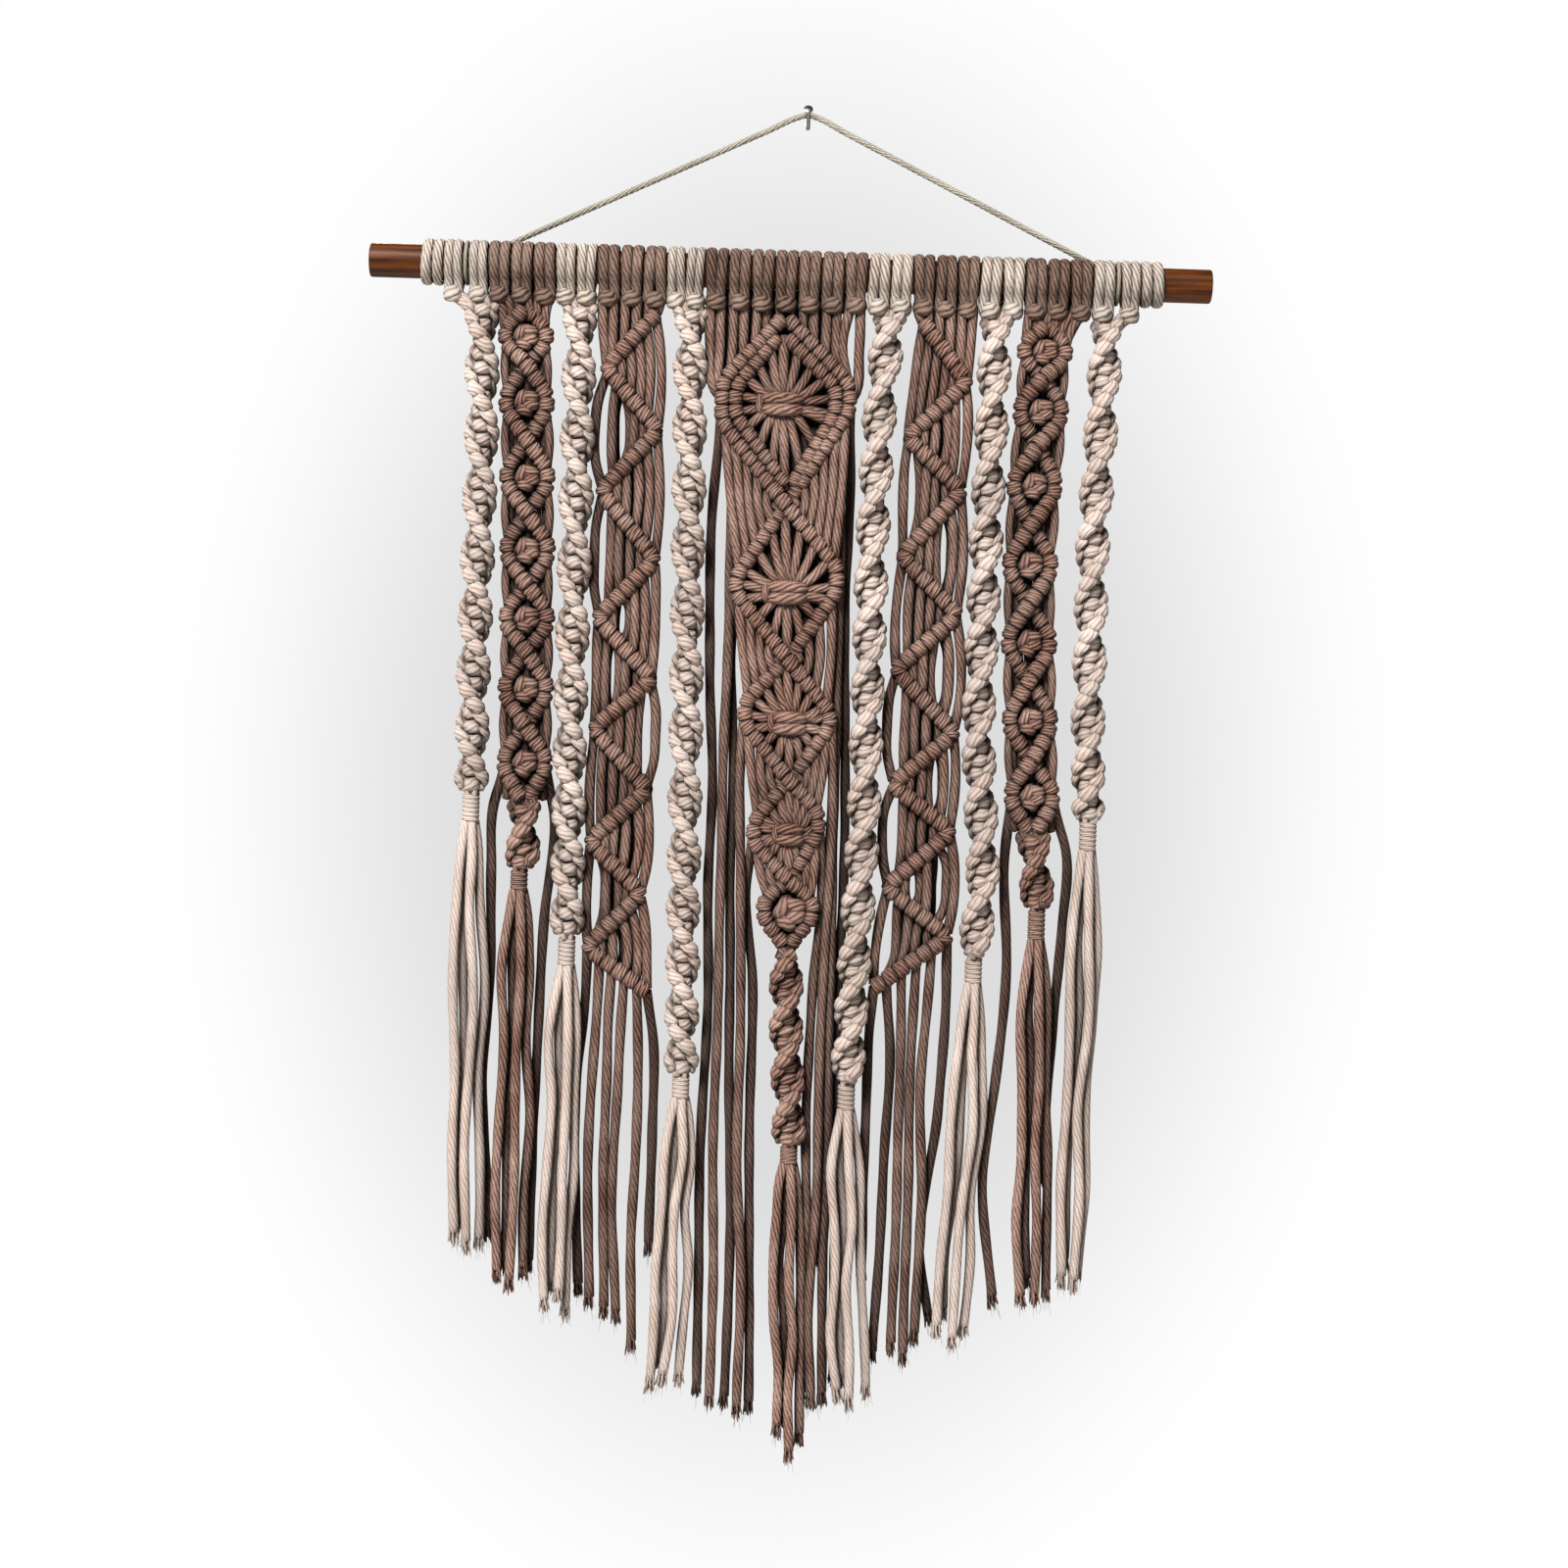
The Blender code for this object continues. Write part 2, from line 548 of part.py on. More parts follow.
def make_hanger(material):
    """The hanging cord, a tube from knot to knot over the nail."""
    nail_height = HANGER_ON_NAIL * math.tan(NAIL_TILT)
    over_nail = (NAIL_RADIUS + GAP + HANGER_RADIUS) / math.cos(NAIL_TILT)
    apex = Vector((0, -HANGER_ON_NAIL, nail_height + over_nail))
    arms = []
    for (_, x, turn), bend in zip(LOOPS, (-1, 1)):
        knot = knot_spot(x, turn)
        slope = (apex - knot).normalized()
        start = knot + slope * (KNOT_RADIUS + GAP)
        # The cord comes off the nail in a short bend, then runs straight.
        shoulder = apex + Vector((bend * SHOULDER[0], 0, SHOULDER[1]))
        arms.append((start, shoulder))
    route = [arms[0][0], arms[0][1], apex, arms[1][1], arms[1][0]]
    steps = (ARM_STEPS, 1, 1, ARM_STEPS)
    points = []
    for count, low, high in zip(steps, route, route[1:]):
        points += [low.lerp(high, i / count) for i in range(count)]
    points.append(route[-1])
    curve = bpy.data.curves.new("hanger", "CURVE")
    curve.dimensions = "3D"
    curve.bevel_depth = HANGER_RADIUS
    curve.bevel_resolution = 2
    curve.use_fill_caps = True
    spline = curve.splines.new("POLY")
    spline.points.add(len(points) - 1)
    for point, place in zip(spline.points, points):
        point.co = (*place, 1)
    curve.materials.append(material)
    hanger = bpy.data.objects.new("hanger", curve)
    bpy.context.scene.collection.objects.link(hanger)


def on_line(places, drop):
    """The x at a drop on a line through (x, drop) places."""
    for (x0, low), (x1, high) in zip(places, places[1:]):
        if drop <= high:
            return x0 + (x1 - x0) * (drop - low) / (high - low)
    return places[-1][0]


def make_spiral(row, material):
    """A flat braid of half knots that turns half way round from one wide place to the next."""
    top = row.spine[0][1]
    bottom = row.spine[-1][1]
    sections = max(RIBBON_SECTIONS, round(RIBBON_SECTIONS * (bottom - top) / row.pitch))
    points = []
    twist = []
    scale = []
    for i in range(sections + 1):
        drop = top + (bottom - top) * i / sections
        points.append(spot(on_line(row.spine, drop), drop))
        twist.append(row.turn * math.pi * (drop - row.first) / row.pitch)
        scale.append(1.0)
    scale[0], scale[-1] = RIBBON_ENDS
    ribbon = round_section(RIBBON_HALF_WIDTH[row.colour], RIBBON_HALF_THICK, 6)
    mesh = sweep(points, ribbon, twist, scale, level_ends=True)
    add_object(f"spiral_{row.name}", mesh, material)


def make_neck(row, material):
    """The binding that gathers the four cords under a spiral."""
    x, top = row.spine[-1]
    ends = [spot(x, top + GAP), spot(x, row.neck)]
    mesh = sweep(ends, round_section(NECK_RADIUS, NECK_RADIUS, 8), level_ends=True)
    add_object(f"neck_{row.name}", mesh, material)


def make_tassel(row, material):
    """Four ends, from one square root under the binding down to their tips."""
    x, _ = row.spine[-1]
    top = row.neck + GAP
    cell = CORD_RADIUS * 2
    shape = bmesh.new()
    grid = {}
    for i in range(3):
        for j in range(3):
            for k in range(2):
                place = spot(x + (i - 1) * cell, top + TASSEL_ROOT * k, PLANE + (j - 1) * cell)
                grid[i, j, k] = shape.verts.new(place)
    roots = []
    for i in range(2):
        for j in range(2):
            for k in range(2):
                corners = (grid[i, j, k], grid[i + 1, j, k], grid[i + 1, j + 1, k], grid[i, j + 1, k])
                face = shape.faces.new(corners)
                if k:
                    roots.append((i, j, face))
    for i in range(2):
        edges = (
            ((i, 0), (i + 1, 0)),
            ((i, 2), (i + 1, 2)),
            ((0, i), (0, i + 1)),
            ((2, i), (2, i + 1)),
        )
        for low, high in edges:
            shape.faces.new((grid[(*low, 0)], grid[(*high, 0)], grid[(*high, 1)], grid[(*low, 1)]))
    bmesh.ops.recalc_face_normals(shape, faces=shape.faces)
    faces = [face for _, _, face in roots]
    bmesh.ops.inset_individual(shape, faces=faces, thickness=GAP * 0.8)
    for i, j, face in roots:
        tip_x, tip_drop = row.tips[(1 - j) * 2 + i]
        first = face.calc_center_median()
        depth = PLANE + (2 * j - 1) * TASSEL_HALF_DEPTH
        last = spot(tip_x, tip_drop, depth)
        for share, ease in TASSEL_BENDS:
            target = Vector((
                first.x + (last.x - first.x) * ease,
                first.y + (last.y - first.y) * min(1.0, share * TASSEL_SPREAD),
                first.z + (last.z - first.z) * share,
            ))
            made = bmesh.ops.extrude_discrete_faces(shape, faces=[face])
            face = made["faces"][0]
            middle = face.calc_center_median()
            for vertex in face.verts:
                vertex.co += target - middle
    add_object(f"tassel_{row.name}", finish_mesh(shape), material)


def make_column(row, material):
    """Two leaders that cross between diamonds, with a berry knot in each diamond."""
    solids = []
    corners = []
    for (x0, low), (x1, high) in zip(row.crossings, row.crossings[1:]):
        corners.append(((x0 + x1) / 2, (low + high) / 2))
    for sense in (-1, 1):
        path = [row.crossings[0]]
        for number, (x, drop) in enumerate(corners):
            side = sense if number % 2 else -sense
            path.append((x + side * DIAMOND_HALF, drop))
            path.append(row.crossings[number + 1])
        solids.append(band(path))
    for x, drop in corners:
        solids.append(ball(spot(x, drop, BERRY_DEPTH), BERRY, 3, 4))
    for sense in (-1, 1):
        out = sense * (DIAMOND_HALF + RAIL_OUT)
        rail = [(row.crossings[0][0] + out, WORK_TOP, HEADING_CORDS)]
        rail += [(x + out, drop, TUCKED) for x, drop in corners]
        solids.append(strand(rail))
        last_x, last_drop = corners[-1]
        ends = row.left_end if sense < 0 else row.right_end
        places = [(last_x + sense * DIAMOND_HALF, last_drop, TUCKED), (*ends[0], LEAVING)]
        places += [(x, drop, SIDE_ENDS) for x, drop in ends[1:]]
        solids.append(strand(places))
    fuse(row.name, solids, material)


def between(low, high, share):
    return tuple(a + (b - a) * share for a, b in zip(low, high))


def make_zigzag(row, material):
    """A leader that zigzags, the slack cords that cross its gaps, and the ends below."""
    solids = [band(row.corners)]
    first, second = row.corners[:2]
    for share in ZIGZAG_TOP_CORDS:
        x, drop = between(first, second, share)
        solids.append(strand(((x, WORK_TOP, HEADING_CORDS), (x, drop, TUCKED))))
    for above, apex, below in zip(row.corners, row.corners[1:], row.corners[2:]):
        outwards = 1 if above[0] > apex[0] else -1
        for share in ZIGZAG_SLACK:
            high = between(above, apex, share)
            low = between(below, apex, share)
            bow_x = (high[0] + low[0]) / 2 + outwards * ZIGZAG_BOW
            bow = (bow_x, (high[1] + low[1]) / 2, SLACK)
            solids.append(strand(((*high, TUCKED), bow, (*low, TUCKED))))
    start, end = row.corners[-2:]
    for share, depth, places in row.ends:
        x, drop = between(start, end, share)
        path = [(x, drop, TUCKED), (*places[0], depth)]
        path += [(px, py, depth) for px, py in places[1:]]
        solids.append(strand(path))
    fuse(row.name, solids, material)


def star_plate(corners, depth):
    """A thin flat plate, the cords that radiate in a diamond."""
    shape = bmesh.new()
    rings = []
    for offset in (-STAR_HALF_THICK, STAR_HALF_THICK):
        rings.append([shape.verts.new(spot(x, drop, depth + offset)) for x, drop in corners])
    join_rings(shape, rings)
    return finish_mesh(shape)


def make_centre(material):
    """Five diamonds that grow smaller, knots inside them, and the ends that they drop."""
    solids = []
    tops = [row.top for row in CENTRE] + [CENTRE_BOTTOM]
    paths = ([tops[0]], [tops[0]])
    for number, row in enumerate(CENTRE):
        sides = (
            [(row.left, drop) for drop in row.left_drops],
            [(row.right, drop) for drop in row.right_drops],
        )
        for path, side in zip(paths, sides if number % 2 == 0 else sides[::-1]):
            path += [*side, tops[number + 1]]
        outline = [tops[number], *sides[1], tops[number + 1], *reversed(sides[0])]
        solids.append(star_plate(outline, SLACK))
        half = KNOT_SIZES[number]
        knot = (half, STAR_KNOT_HALF_THICK, half * STAR_KNOT_HEIGHT)
        solids.append(ball(spot(*row.knot, STAR_KNOT_DEPTH), knot))
    solids += [band(path) for path in paths]
    left, left_drops, right, right_drops = INNER_SIDES
    for x, drops in ((left, left_drops), (right, right_drops)):
        solids.append(band([INNER_TOP, *[(x, drop) for drop in drops], INNER_BOTTOM]))
    first = CENTRE[0]
    for x in CENTRE_BARS:
        side = first.left if x < first.top[0] else first.right
        drops = first.left_drops if x < first.top[0] else first.right_drops
        share = min(1.0, (x - first.top[0]) / (side - first.top[0]))
        x_low, drop = between(first.top, (side, drops[0]), share)
        solids.append(strand(((x, WORK_TOP, HEADING_CORDS), (x_low, drop, TUCKED))))
    for upper, lower in zip(CENTRE, CENTRE[1:]):
        crossing = lower.top
        for side_above, drops_above, side_below, drops_below in (
            (upper.left, upper.left_drops, lower.left, lower.left_drops),
            (upper.right, upper.right_drops, lower.right, lower.right_drops),
        ):
            high = between((side_above, drops_above[1]), crossing, CENTRE_SLACK[0])
            low = between((side_below, drops_below[0]), crossing, CENTRE_SLACK[1])
            bow_x = (high[0] + low[0]) / 2 + math.copysign(CENTRE_BOW, side_above - crossing[0])
            bow = (bow_x, (high[1] + low[1]) / 2, SLACK)
            solids.append(strand(((*high, TUCKED), bow, (*low, TUCKED))))
    for depth, places in CENTRE_ENDS:
        path = [(*places[0], TUCKED)]
        path += [(x, drop, depth) for x, drop in places[1:]]
        solids.append(strand(path))
    fuse("column_centre", solids, material)


def main():
    clear_scene()
    materials = finishes()
    make_dowel(materials["wood_oiled"])
    make_nail(materials["steel"])
    make_heading(materials)
    make_loops(materials["cotton_natural"])
    make_hanger(materials["cotton_natural"])
    for row in SPIRALS:
        make_spiral(row, materials[row.colour])
        make_neck(row, materials[row.colour])
        make_tassel(row, materials[row.colour])
    mocha = materials["cotton_mocha"]
    for row in COLUMNS:
        make_column(row, mocha)
    for row in ZIGZAGS:
        make_zigzag(row, mocha)
    make_centre(mocha)


main()
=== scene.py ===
import math
from functools import partial

import bpy
import numpy as np
from mathutils import Matrix, Vector


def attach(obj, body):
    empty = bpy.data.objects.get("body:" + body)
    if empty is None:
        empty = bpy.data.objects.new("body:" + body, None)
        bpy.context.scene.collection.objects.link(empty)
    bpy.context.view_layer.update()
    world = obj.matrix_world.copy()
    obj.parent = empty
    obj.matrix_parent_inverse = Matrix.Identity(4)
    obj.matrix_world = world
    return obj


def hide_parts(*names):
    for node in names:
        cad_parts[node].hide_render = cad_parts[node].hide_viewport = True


# Macrame wall hanging: every cord is laid as it is tied, in millimetres from the dowel's middle.
# x runs along the dowel, y towards the wall (0 is the middle of the work), z up.
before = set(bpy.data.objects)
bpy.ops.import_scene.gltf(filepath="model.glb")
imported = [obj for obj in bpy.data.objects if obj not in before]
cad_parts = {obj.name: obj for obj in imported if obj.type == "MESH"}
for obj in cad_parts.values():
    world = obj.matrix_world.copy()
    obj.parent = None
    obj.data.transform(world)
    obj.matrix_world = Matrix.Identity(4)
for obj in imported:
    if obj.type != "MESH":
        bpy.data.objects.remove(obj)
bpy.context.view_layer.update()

hang = {
    "dowelMiddle": (-5.85, -19.0, -73.0),  # work zero, seen from the nail's tail
    "dowelY": 4.0,  # the dowel's axis, behind the work's middle
    "cord": 2.45,  # half width of the slack cord
    # how far back the loose ends hang
    "behind": 9.2,
    "halfBehind": 4.6,
    "beside": 2.6,
}
front = np.array((0.0, -1.0, 0.0))


def hexColour(text):
    # sRGB hex to linear
    out = []
    for i in (1, 3, 5):
        c = int(text[i:i + 2], 16) / 255
        out.append(c / 12.92 if c <= 0.04045 else ((c + 0.055) / 1.055) ** 2.4)
    return (*out, 1.0)


def addNode(tree, kind, values={}):
    # one node of a kind, or one that is there, with its attributes, its inputs' values and
    # their links from other nodes or outputs
    node = tree.nodes.new("ShaderNode" + kind) if isinstance(kind, str) else kind
    for key, value in values.items():
        if isinstance(value, bpy.types.Node):
            value = value.outputs[0]
        if isinstance(value, bpy.types.NodeSocket):
            tree.links.new(value, node.inputs[key])
        elif isinstance(key, str) and hasattr(node, key):
            setattr(node, key, value)
        else:
            node.inputs[key].default_value = value
    return node


def newMaterial(name, values):
    # a material, the function that adds to its nodes, and its shader
    material = bpy.data.materials.new(name)
    material.use_nodes = True
    tree = material.node_tree
    return material, partial(addNode, tree), addNode(tree, tree.nodes["Principled BSDF"], values)


cottonLook = {
    "yarns": 7,  # round the cord
    "lay": 1 / 34.0,  # turns of the twist for each millimetre
    "grooveDepth": 0.9,  # millimetres
    "fibre": 0.35,  # millimetres across, a little coarser than real fibres so that they show
    "shadeReach": 20.0,  # millimetres, how near other cords take the light: the reach of the painted crease shade
    "backShadeDepths": (-0.0225, -0.0095),  # metres, from the work's face to the cords nearest the wall, over which the painted shade at the back deepens
}


def cottonCord(name, grooveShadeHex, yarnHex, paleHex, relief, creaseShade, behind):
    # Single-twist combed cotton cord, dyed in the yarn: dull, with soft ridges that wind round it, a pale
    # fuzz at the rim and no gloss. Painted shade darkens the yarns' grooves, the creases where cords press
    # together and the cords at the back.
    material, add, shader = newMaterial(name, {
        "Roughness": 0.93, "IOR": 1.47, "Specular IOR Level": 0.25,
        "Sheen Weight": 0.08, "Sheen Roughness": 0.6, "Sheen Tint": hexColour(paleHex),
    })
    spot = add("TexCoord").outputs["Object"]
    around, down, _ = add("SeparateXYZ", {0: add("UVMap", {"uv_map": "cordLay"})}).outputs
    first = add("Math", {"operation": "MULTIPLY", 0: around, 1: cottonLook["yarns"]})
    yarnLay = cottonLook["lay"] * cottonLook["yarns"]
    phase = add("Math", {"operation": "MULTIPLY_ADD", 0: down, 1: yarnLay, 2: first})
    # the twist is uneven, every 6 mm or so
    sway = add("TexNoise", {"Scale": 160.0, "Detail": 1.0, "Vector": spot})
    uneven = add("Math", {"operation": "MULTIPLY_ADD", 0: sway, 1: 1.1, 2: phase})
    half = add("Math", {"operation": "MULTIPLY", 0: uneven, 1: math.pi})
    wave = add("Math", {"operation": "SINE", 0: half})
    ridge = add("Math", {"operation": "ABSOLUTE", 0: wave})
    # fibres run along the yarns: fine across them and long down them
    lanes = add("CombineXYZ", {0: uneven, 1: down})
    stretch = add("Mapping", {"Scale": (1.5 / cottonLook["fibre"], 0.35, 1.0), 0: lanes})
    fibre = add("TexNoise", {"Scale": 1.0, "Detail": 3.0, "Vector": stretch})
    blotch = add("TexNoise", {"Scale": 55.0, "Detail": 2.0, "Vector": spot})  # 18 mm
    # painted shade: the grooves between the yarns take the dark groove colour, the ridges the yarn colour
    shade = add("MapRange", {0: ridge, 1: 0.15, 2: 1.0, 3: 0.0, 4: 1.0})
    body = add("Mix", {"data_type": "RGBA", 0: shade, 6: hexColour(grooveShadeHex), 7: hexColour(yarnHex)})
    mixed = add("Math", {"operation": "MULTIPLY", 0: fibre, 1: blotch})
    lift = add("MapRange", {0: mixed, 1: 0.14, 2: 0.42, 3: 0.0, 4: 0.65})
    colour = add("Mix", {"data_type": "RGBA", 0: lift, 6: body.outputs[2], 7: hexColour(paleHex)})
    # the dye took unevenly, about 33 mm at a time
    dye = add("TexNoise", {"Scale": 30.0, "Detail": 1.0, "Vector": spot})
    depth = add("MapRange", {0: dye, 1: 0.3, 2: 0.7, 3: 0.78, 4: 1.1})
    dyed = add("HueSaturation", {"Value": depth, "Color": colour.outputs[2]})
    # painted shade: the colour darkens where other cords lie within reach, as where cords press together
    near = add("AmbientOcclusion", {"samples": 6, "Distance": cottonLook["shadeReach"] / 1000, "Color": dyed})
    paintedCreaseShade = add("MapRange", {0: near.outputs["AO"], 1: 0.32, 2: 0.97, 3: creaseShade, 4: 1.0})
    # painted shade: the cords at the back, towards the wall, are darkened down to the share behind
    face, back = cottonLook["backShadeDepths"]
    inward = add("SeparateXYZ", {0: spot}).outputs[1]
    paintedBackShade = add("MapRange", {0: inward, 1: face, 2: back, 3: 1.0, 4: behind})
    paintedShade = add("Math", {"operation": "MULTIPLY", 0: paintedCreaseShade, 1: paintedBackShade})
    shown = add("HueSaturation", {"Value": paintedShade, "Color": dyed})
    height = add("Math", {"operation": "MULTIPLY_ADD", 0: fibre, 1: 0.35, 2: ridge})
    bump = add("Bump", {"Strength": relief, "Distance": cottonLook["grooveDepth"] / 1000, "Height": height})
    add(shader, {"Base Color": shown, "Normal": bump})
    return material


def oiledBeech():
    # Beech rod, sanded and oiled a warm brown: fine lengthwise grain, short dark flecks and
    # a low, broad shine.
    look = {"Roughness": 0.5, "IOR": 1.5, "Specular IOR Level": 0.2}
    material, add, shader = newMaterial("oiledBeech", look)
    spot = add("TexCoord").outputs["Object"]
    # lines 2.4 mm apart and 70 mm long, flecks 0.7 mm by 8 mm
    grain = add("Mapping", {"Scale": (14.0, 420.0, 420.0), 0: spot})
    lines = add("TexNoise", {"Scale": 1.0, "Detail": 5.0, "Roughness": 0.6, "Vector": grain})
    flecks = add("Mapping", {"Scale": (120.0, 1500.0, 1500.0), 0: spot})
    spots = add("TexNoise", {"Scale": 1.0, "Detail": 1.0, "Vector": flecks})
    tone = add("ValToRGB", {0: lines})
    for stop, at, shade in zip(tone.color_ramp.elements, (0.38, 0.61), ("#2c1304", "#6e390e")):
        stop.position = at
        stop.color = hexColour(shade)
    dark = add("MapRange", {0: spots, 1: 0.60, 2: 0.72, 3: 0.0, 4: 0.55})
    colour = add("Mix", {"data_type": "RGBA", 0: dark, 6: tone, 7: hexColour("#35190b")})
    bump = add("Bump", {"Strength": 0.35, "Distance": 0.0001, "Height": lines})
    add(shader, {"Base Color": colour.outputs[2], "Normal": bump})
    return material


def brightSteel():
    # Drawn mild steel wire nail, unplated: grey metal with faint drawing lines, 0.6 mm apart.
    material, add, shader = newMaterial("brightSteel", {
        "Base Color": hexColour("#8f8f8e"), "Metallic": 1.0, "Roughness": 0.34,
    })
    spot = add("TexCoord").outputs["Object"]
    rub = add("TexNoise", {"Scale": 1800.0, "Detail": 2.0, "Vector": spot})
    bump = add("Bump", {"Strength": 0.25, "Distance": 0.00004, "Height": rub})
    add(shader, {"Normal": bump})
    return material


# painted shade: the heading's turns take darker, greyer copies of the same cream and mocha cords
shadedCreamTurns = cottonCord("shadedCreamCottonTurns", "#6f5d50", "#d2c0b0", "#e8dcd0", 0.8, 0.45, 1.0)
shadedMochaTurns = cottonCord("shadedMochaCottonTurns", "#1f1410", "#826353", "#b99d8d", 0.95, 0.2, 1.0)
# the last three numbers: bump relief, the least painted crease shade, and the painted shade at the back (1 is
# none)
finishes = {
    "cotton_cream": cottonCord("creamCotton", "#ab9283", "#d9c3b6", "#efe1d7", 0.45, 0.3, 0.6),
    "cotton_mocha": cottonCord("mochaCotton", "#2d1912", "#9e7160", "#d9b7a6", 0.9, 0.1, 0.26),
    "cotton_natural": cottonCord("naturalCotton", "#8d8373", "#c3baaa", "#ddd5c6", 0.7, 0.5, 1.0),
    "wood_oiled": oiledBeech(),
    "steel": brightSteel(),
}
print("materials ready")


def wobble(seed, t, size):
    # small smooth sway, the same on each run
    return size * (math.sin(t * 1.7 + seed * 2.3) + 0.6 * math.sin(t * 3.1 + seed * 5.7))


def chance(seed):
    # a fixed number from 0 to 1 for each seed
    return math.sin(seed * 12.9898 + 4.1) * 43758.5453 % 1.0


def unit(v):
    return v / np.maximum(np.linalg.norm(v, axis=-1, keepdims=True), 1e-9)


def circle(sides):
    return 2 * np.pi * np.arange(sides) / sides


def between(low, high, share):
    return tuple(a + (b - a) * share for a, b in zip(low, high))


def runOf(line, least=0.0):
    # how far along the line each of its points is
    gaps = np.linalg.norm(np.diff(line, axis=0), axis=1)
    return np.concatenate([[0.0], np.cumsum(np.maximum(gaps, least))])


def smoothLine(points, step):
    # an even, smooth line through points (Catmull-Rom)
    points = np.asarray(points, float)
    t = runOf(points, 1e-6)
    count = max(2, math.ceil(t[-1] / step))
    slope = (np.gradient(points, t, axis=0) if len(points) > 2
             else np.tile((points[1] - points[0]) / t[-1], (2, 1)))
    at = np.linspace(0, t[-1], count + 1)
    k = np.clip(np.searchsorted(t, at, side="right") - 1, 0, len(t) - 2)
    h = (t[k + 1] - t[k])[:, None]
    s = ((at - t[k])[:, None]) / h
    return ((2 * s**3 - 3 * s**2 + 1) * points[k] + (s**3 - 2 * s**2 + s) * h * slope[k]
            + (-2 * s**3 + 3 * s**2) * points[k + 1] + (s**3 - s**2) * h * slope[k + 1])


def bentLine(points, step, reach):
    # straight runs with their corners rounded over reach on both sides
    points = np.asarray(points, float)
    t = runOf(points)
    count = max(4, math.ceil(t[-1] / step))
    at = np.linspace(0, t[-1], count + 1)
    line = np.stack([np.interp(at, t, points[:, k]) for k in range(3)], -1)
    n = max(1, round(reach / step))
    ends = np.concatenate([np.repeat(line[:1], n, 0), line, np.repeat(line[-1:], n, 0)])
    even = np.ones(2 * n + 1) / (2 * n + 1)
    soft = np.stack([np.convolve(ends[:, k], even, "valid") for k in range(3)], -1)
    hold = np.clip(np.minimum(at, t[-1] - at) / reach, 0, 1)[:, None]
    return line + (soft - line) * hold


class Bag:
    # the cords of one piece, gathered as rings of points
    def __init__(self):
        self.points, self.quads, self.quadUv = [], [], []
        self.tris, self.triUv = [np.zeros((0, 3), int)], [np.zeros((0, 2))]
        self.count = self.cords = 0


def ringQuads(n, sides):
    # the faces between n rings
    i = np.arange(n - 1)[:, None] * sides
    j = np.arange(sides)[None, :]
    k = (j + 1) % sides
    return np.stack([i + j, i + k, i + sides + k, i + sides + j], -1).reshape(-1, 4)


def lay(bag, line, wide, thick=None, outward=front, sides=10, ends=(1.0, 1.0), bulge=1.0, flat=1.0, part=1.0):
    # one cord along a line. wide is its half width, thick its half thickness towards outward,
    # flat under 1 squares its section up as a pressed cord's is, part is the share of its yarns.
    n = len(line)
    thick = thick or wide
    along = unit(np.gradient(line, axis=0))
    outward = np.broadcast_to(outward, line.shape)
    up = unit(outward - along * (outward * along).sum(1, keepdims=True))
    side = np.cross(along, up)
    run = runOf(line)
    size = np.ones(n)
    length = max(run[-1], 1e-6)
    reach = min(2.5 * wide, length * 0.3)
    for share, where in zip(ends, (run, length - run)):
        size *= 1 - (1 - share) * np.clip(1 - where / reach, 0, 1) ** 2
    size = size * bulge
    angle = circle(sides)
    c, s = (np.sign(f) * np.abs(f) ** flat for f in (np.cos(angle), np.sin(angle)))
    ring = (up[:, None] * (c[:, None] * thick) + side[:, None] * (s[:, None] * wide)) * size[:, None, None]
    base = bag.count
    bag.quads.append(ringQuads(n, sides) + base)
    start = 37.0 * chance(bag.cords + 1)
    turn = np.arange(sides + 1) / sides * part
    uv = np.stack(np.broadcast_arrays(turn, (run + start)[:, None]), -1)
    uv = np.stack([uv[:-1, :-1], uv[:-1, 1:], uv[1:, 1:], uv[1:, :-1]], 2)
    bag.quadUv.append(uv.reshape(-1, 2))
    # closed ends, each a fan round one point
    caps = [line[0] - along[0] * thick * 0.35 * ends[0], line[-1] + along[-1] * thick * 0.35 * ends[1]]
    bag.points += [(line[:, None] + ring).reshape(-1, 3), np.array(caps)]
    low = base + np.arange(sides)
    high = low + (n - 1) * sides
    middle = np.full(sides, base + n * sides)
    bag.tris += [np.stack([middle, np.roll(low, -1), low], -1),
                 np.stack([middle + 1, high, np.roll(high, -1)], -1)]
    fanUv = np.zeros((sides * 2, 3, 2))
    fanUv[:, 1, 0] = np.tile(turn[:-1], 2)
    fanUv[:, 2, 0] = fanUv[:, 1, 0] + part / sides
    fanUv[:sides, :, 1] = start
    fanUv[sides:, :, 1] = start + run[-1]
    bag.triUv.append(fanUv.reshape(-1, 2))
    bag.count += n * sides + 2
    bag.cords += 1


def place(x, drop, y=0.0):
    return (x, y, -drop)


def slack(bag, points, seed, step=3.0, wide=hang["cord"], sway=0.25, sides=10):
    # a loose cord through points, each (x, drop, y), with a slight sway of its own
    line = smoothLine([place(*p) for p in points], step)
    t = np.linspace(0, 1, len(line))
    run = t * np.linalg.norm(np.diff(line, axis=0), axis=1).sum()
    hold = np.sin(np.pi * t) ** 0.5  # none at its ends
    line = line + np.stack([sway * hold * np.sin(run / 17 + seed * 2.1),
                            sway * hold * np.cos(run / 21 + seed * 3.7), 0 * t], -1)
    lay(bag, line, wide, wide * 0.9, sides=sides, bulge=1 + 0.05 * np.sin(run / 6 + seed * 4.3))
    return line


def backCord(bag, points, seed, wide=2.5, sway=0.25):
    # a cord of the layer behind the others, darker from its real shadow and from the painted shade at the
    # back
    slack(bag, points, seed, 4.0, wide, sway, sides=8)


# yarns and hairs at a cut end, and their half widths
fringe = {"yarns": 16, "hairs": 6, "yarn": 0.5, "hair": 0.08}


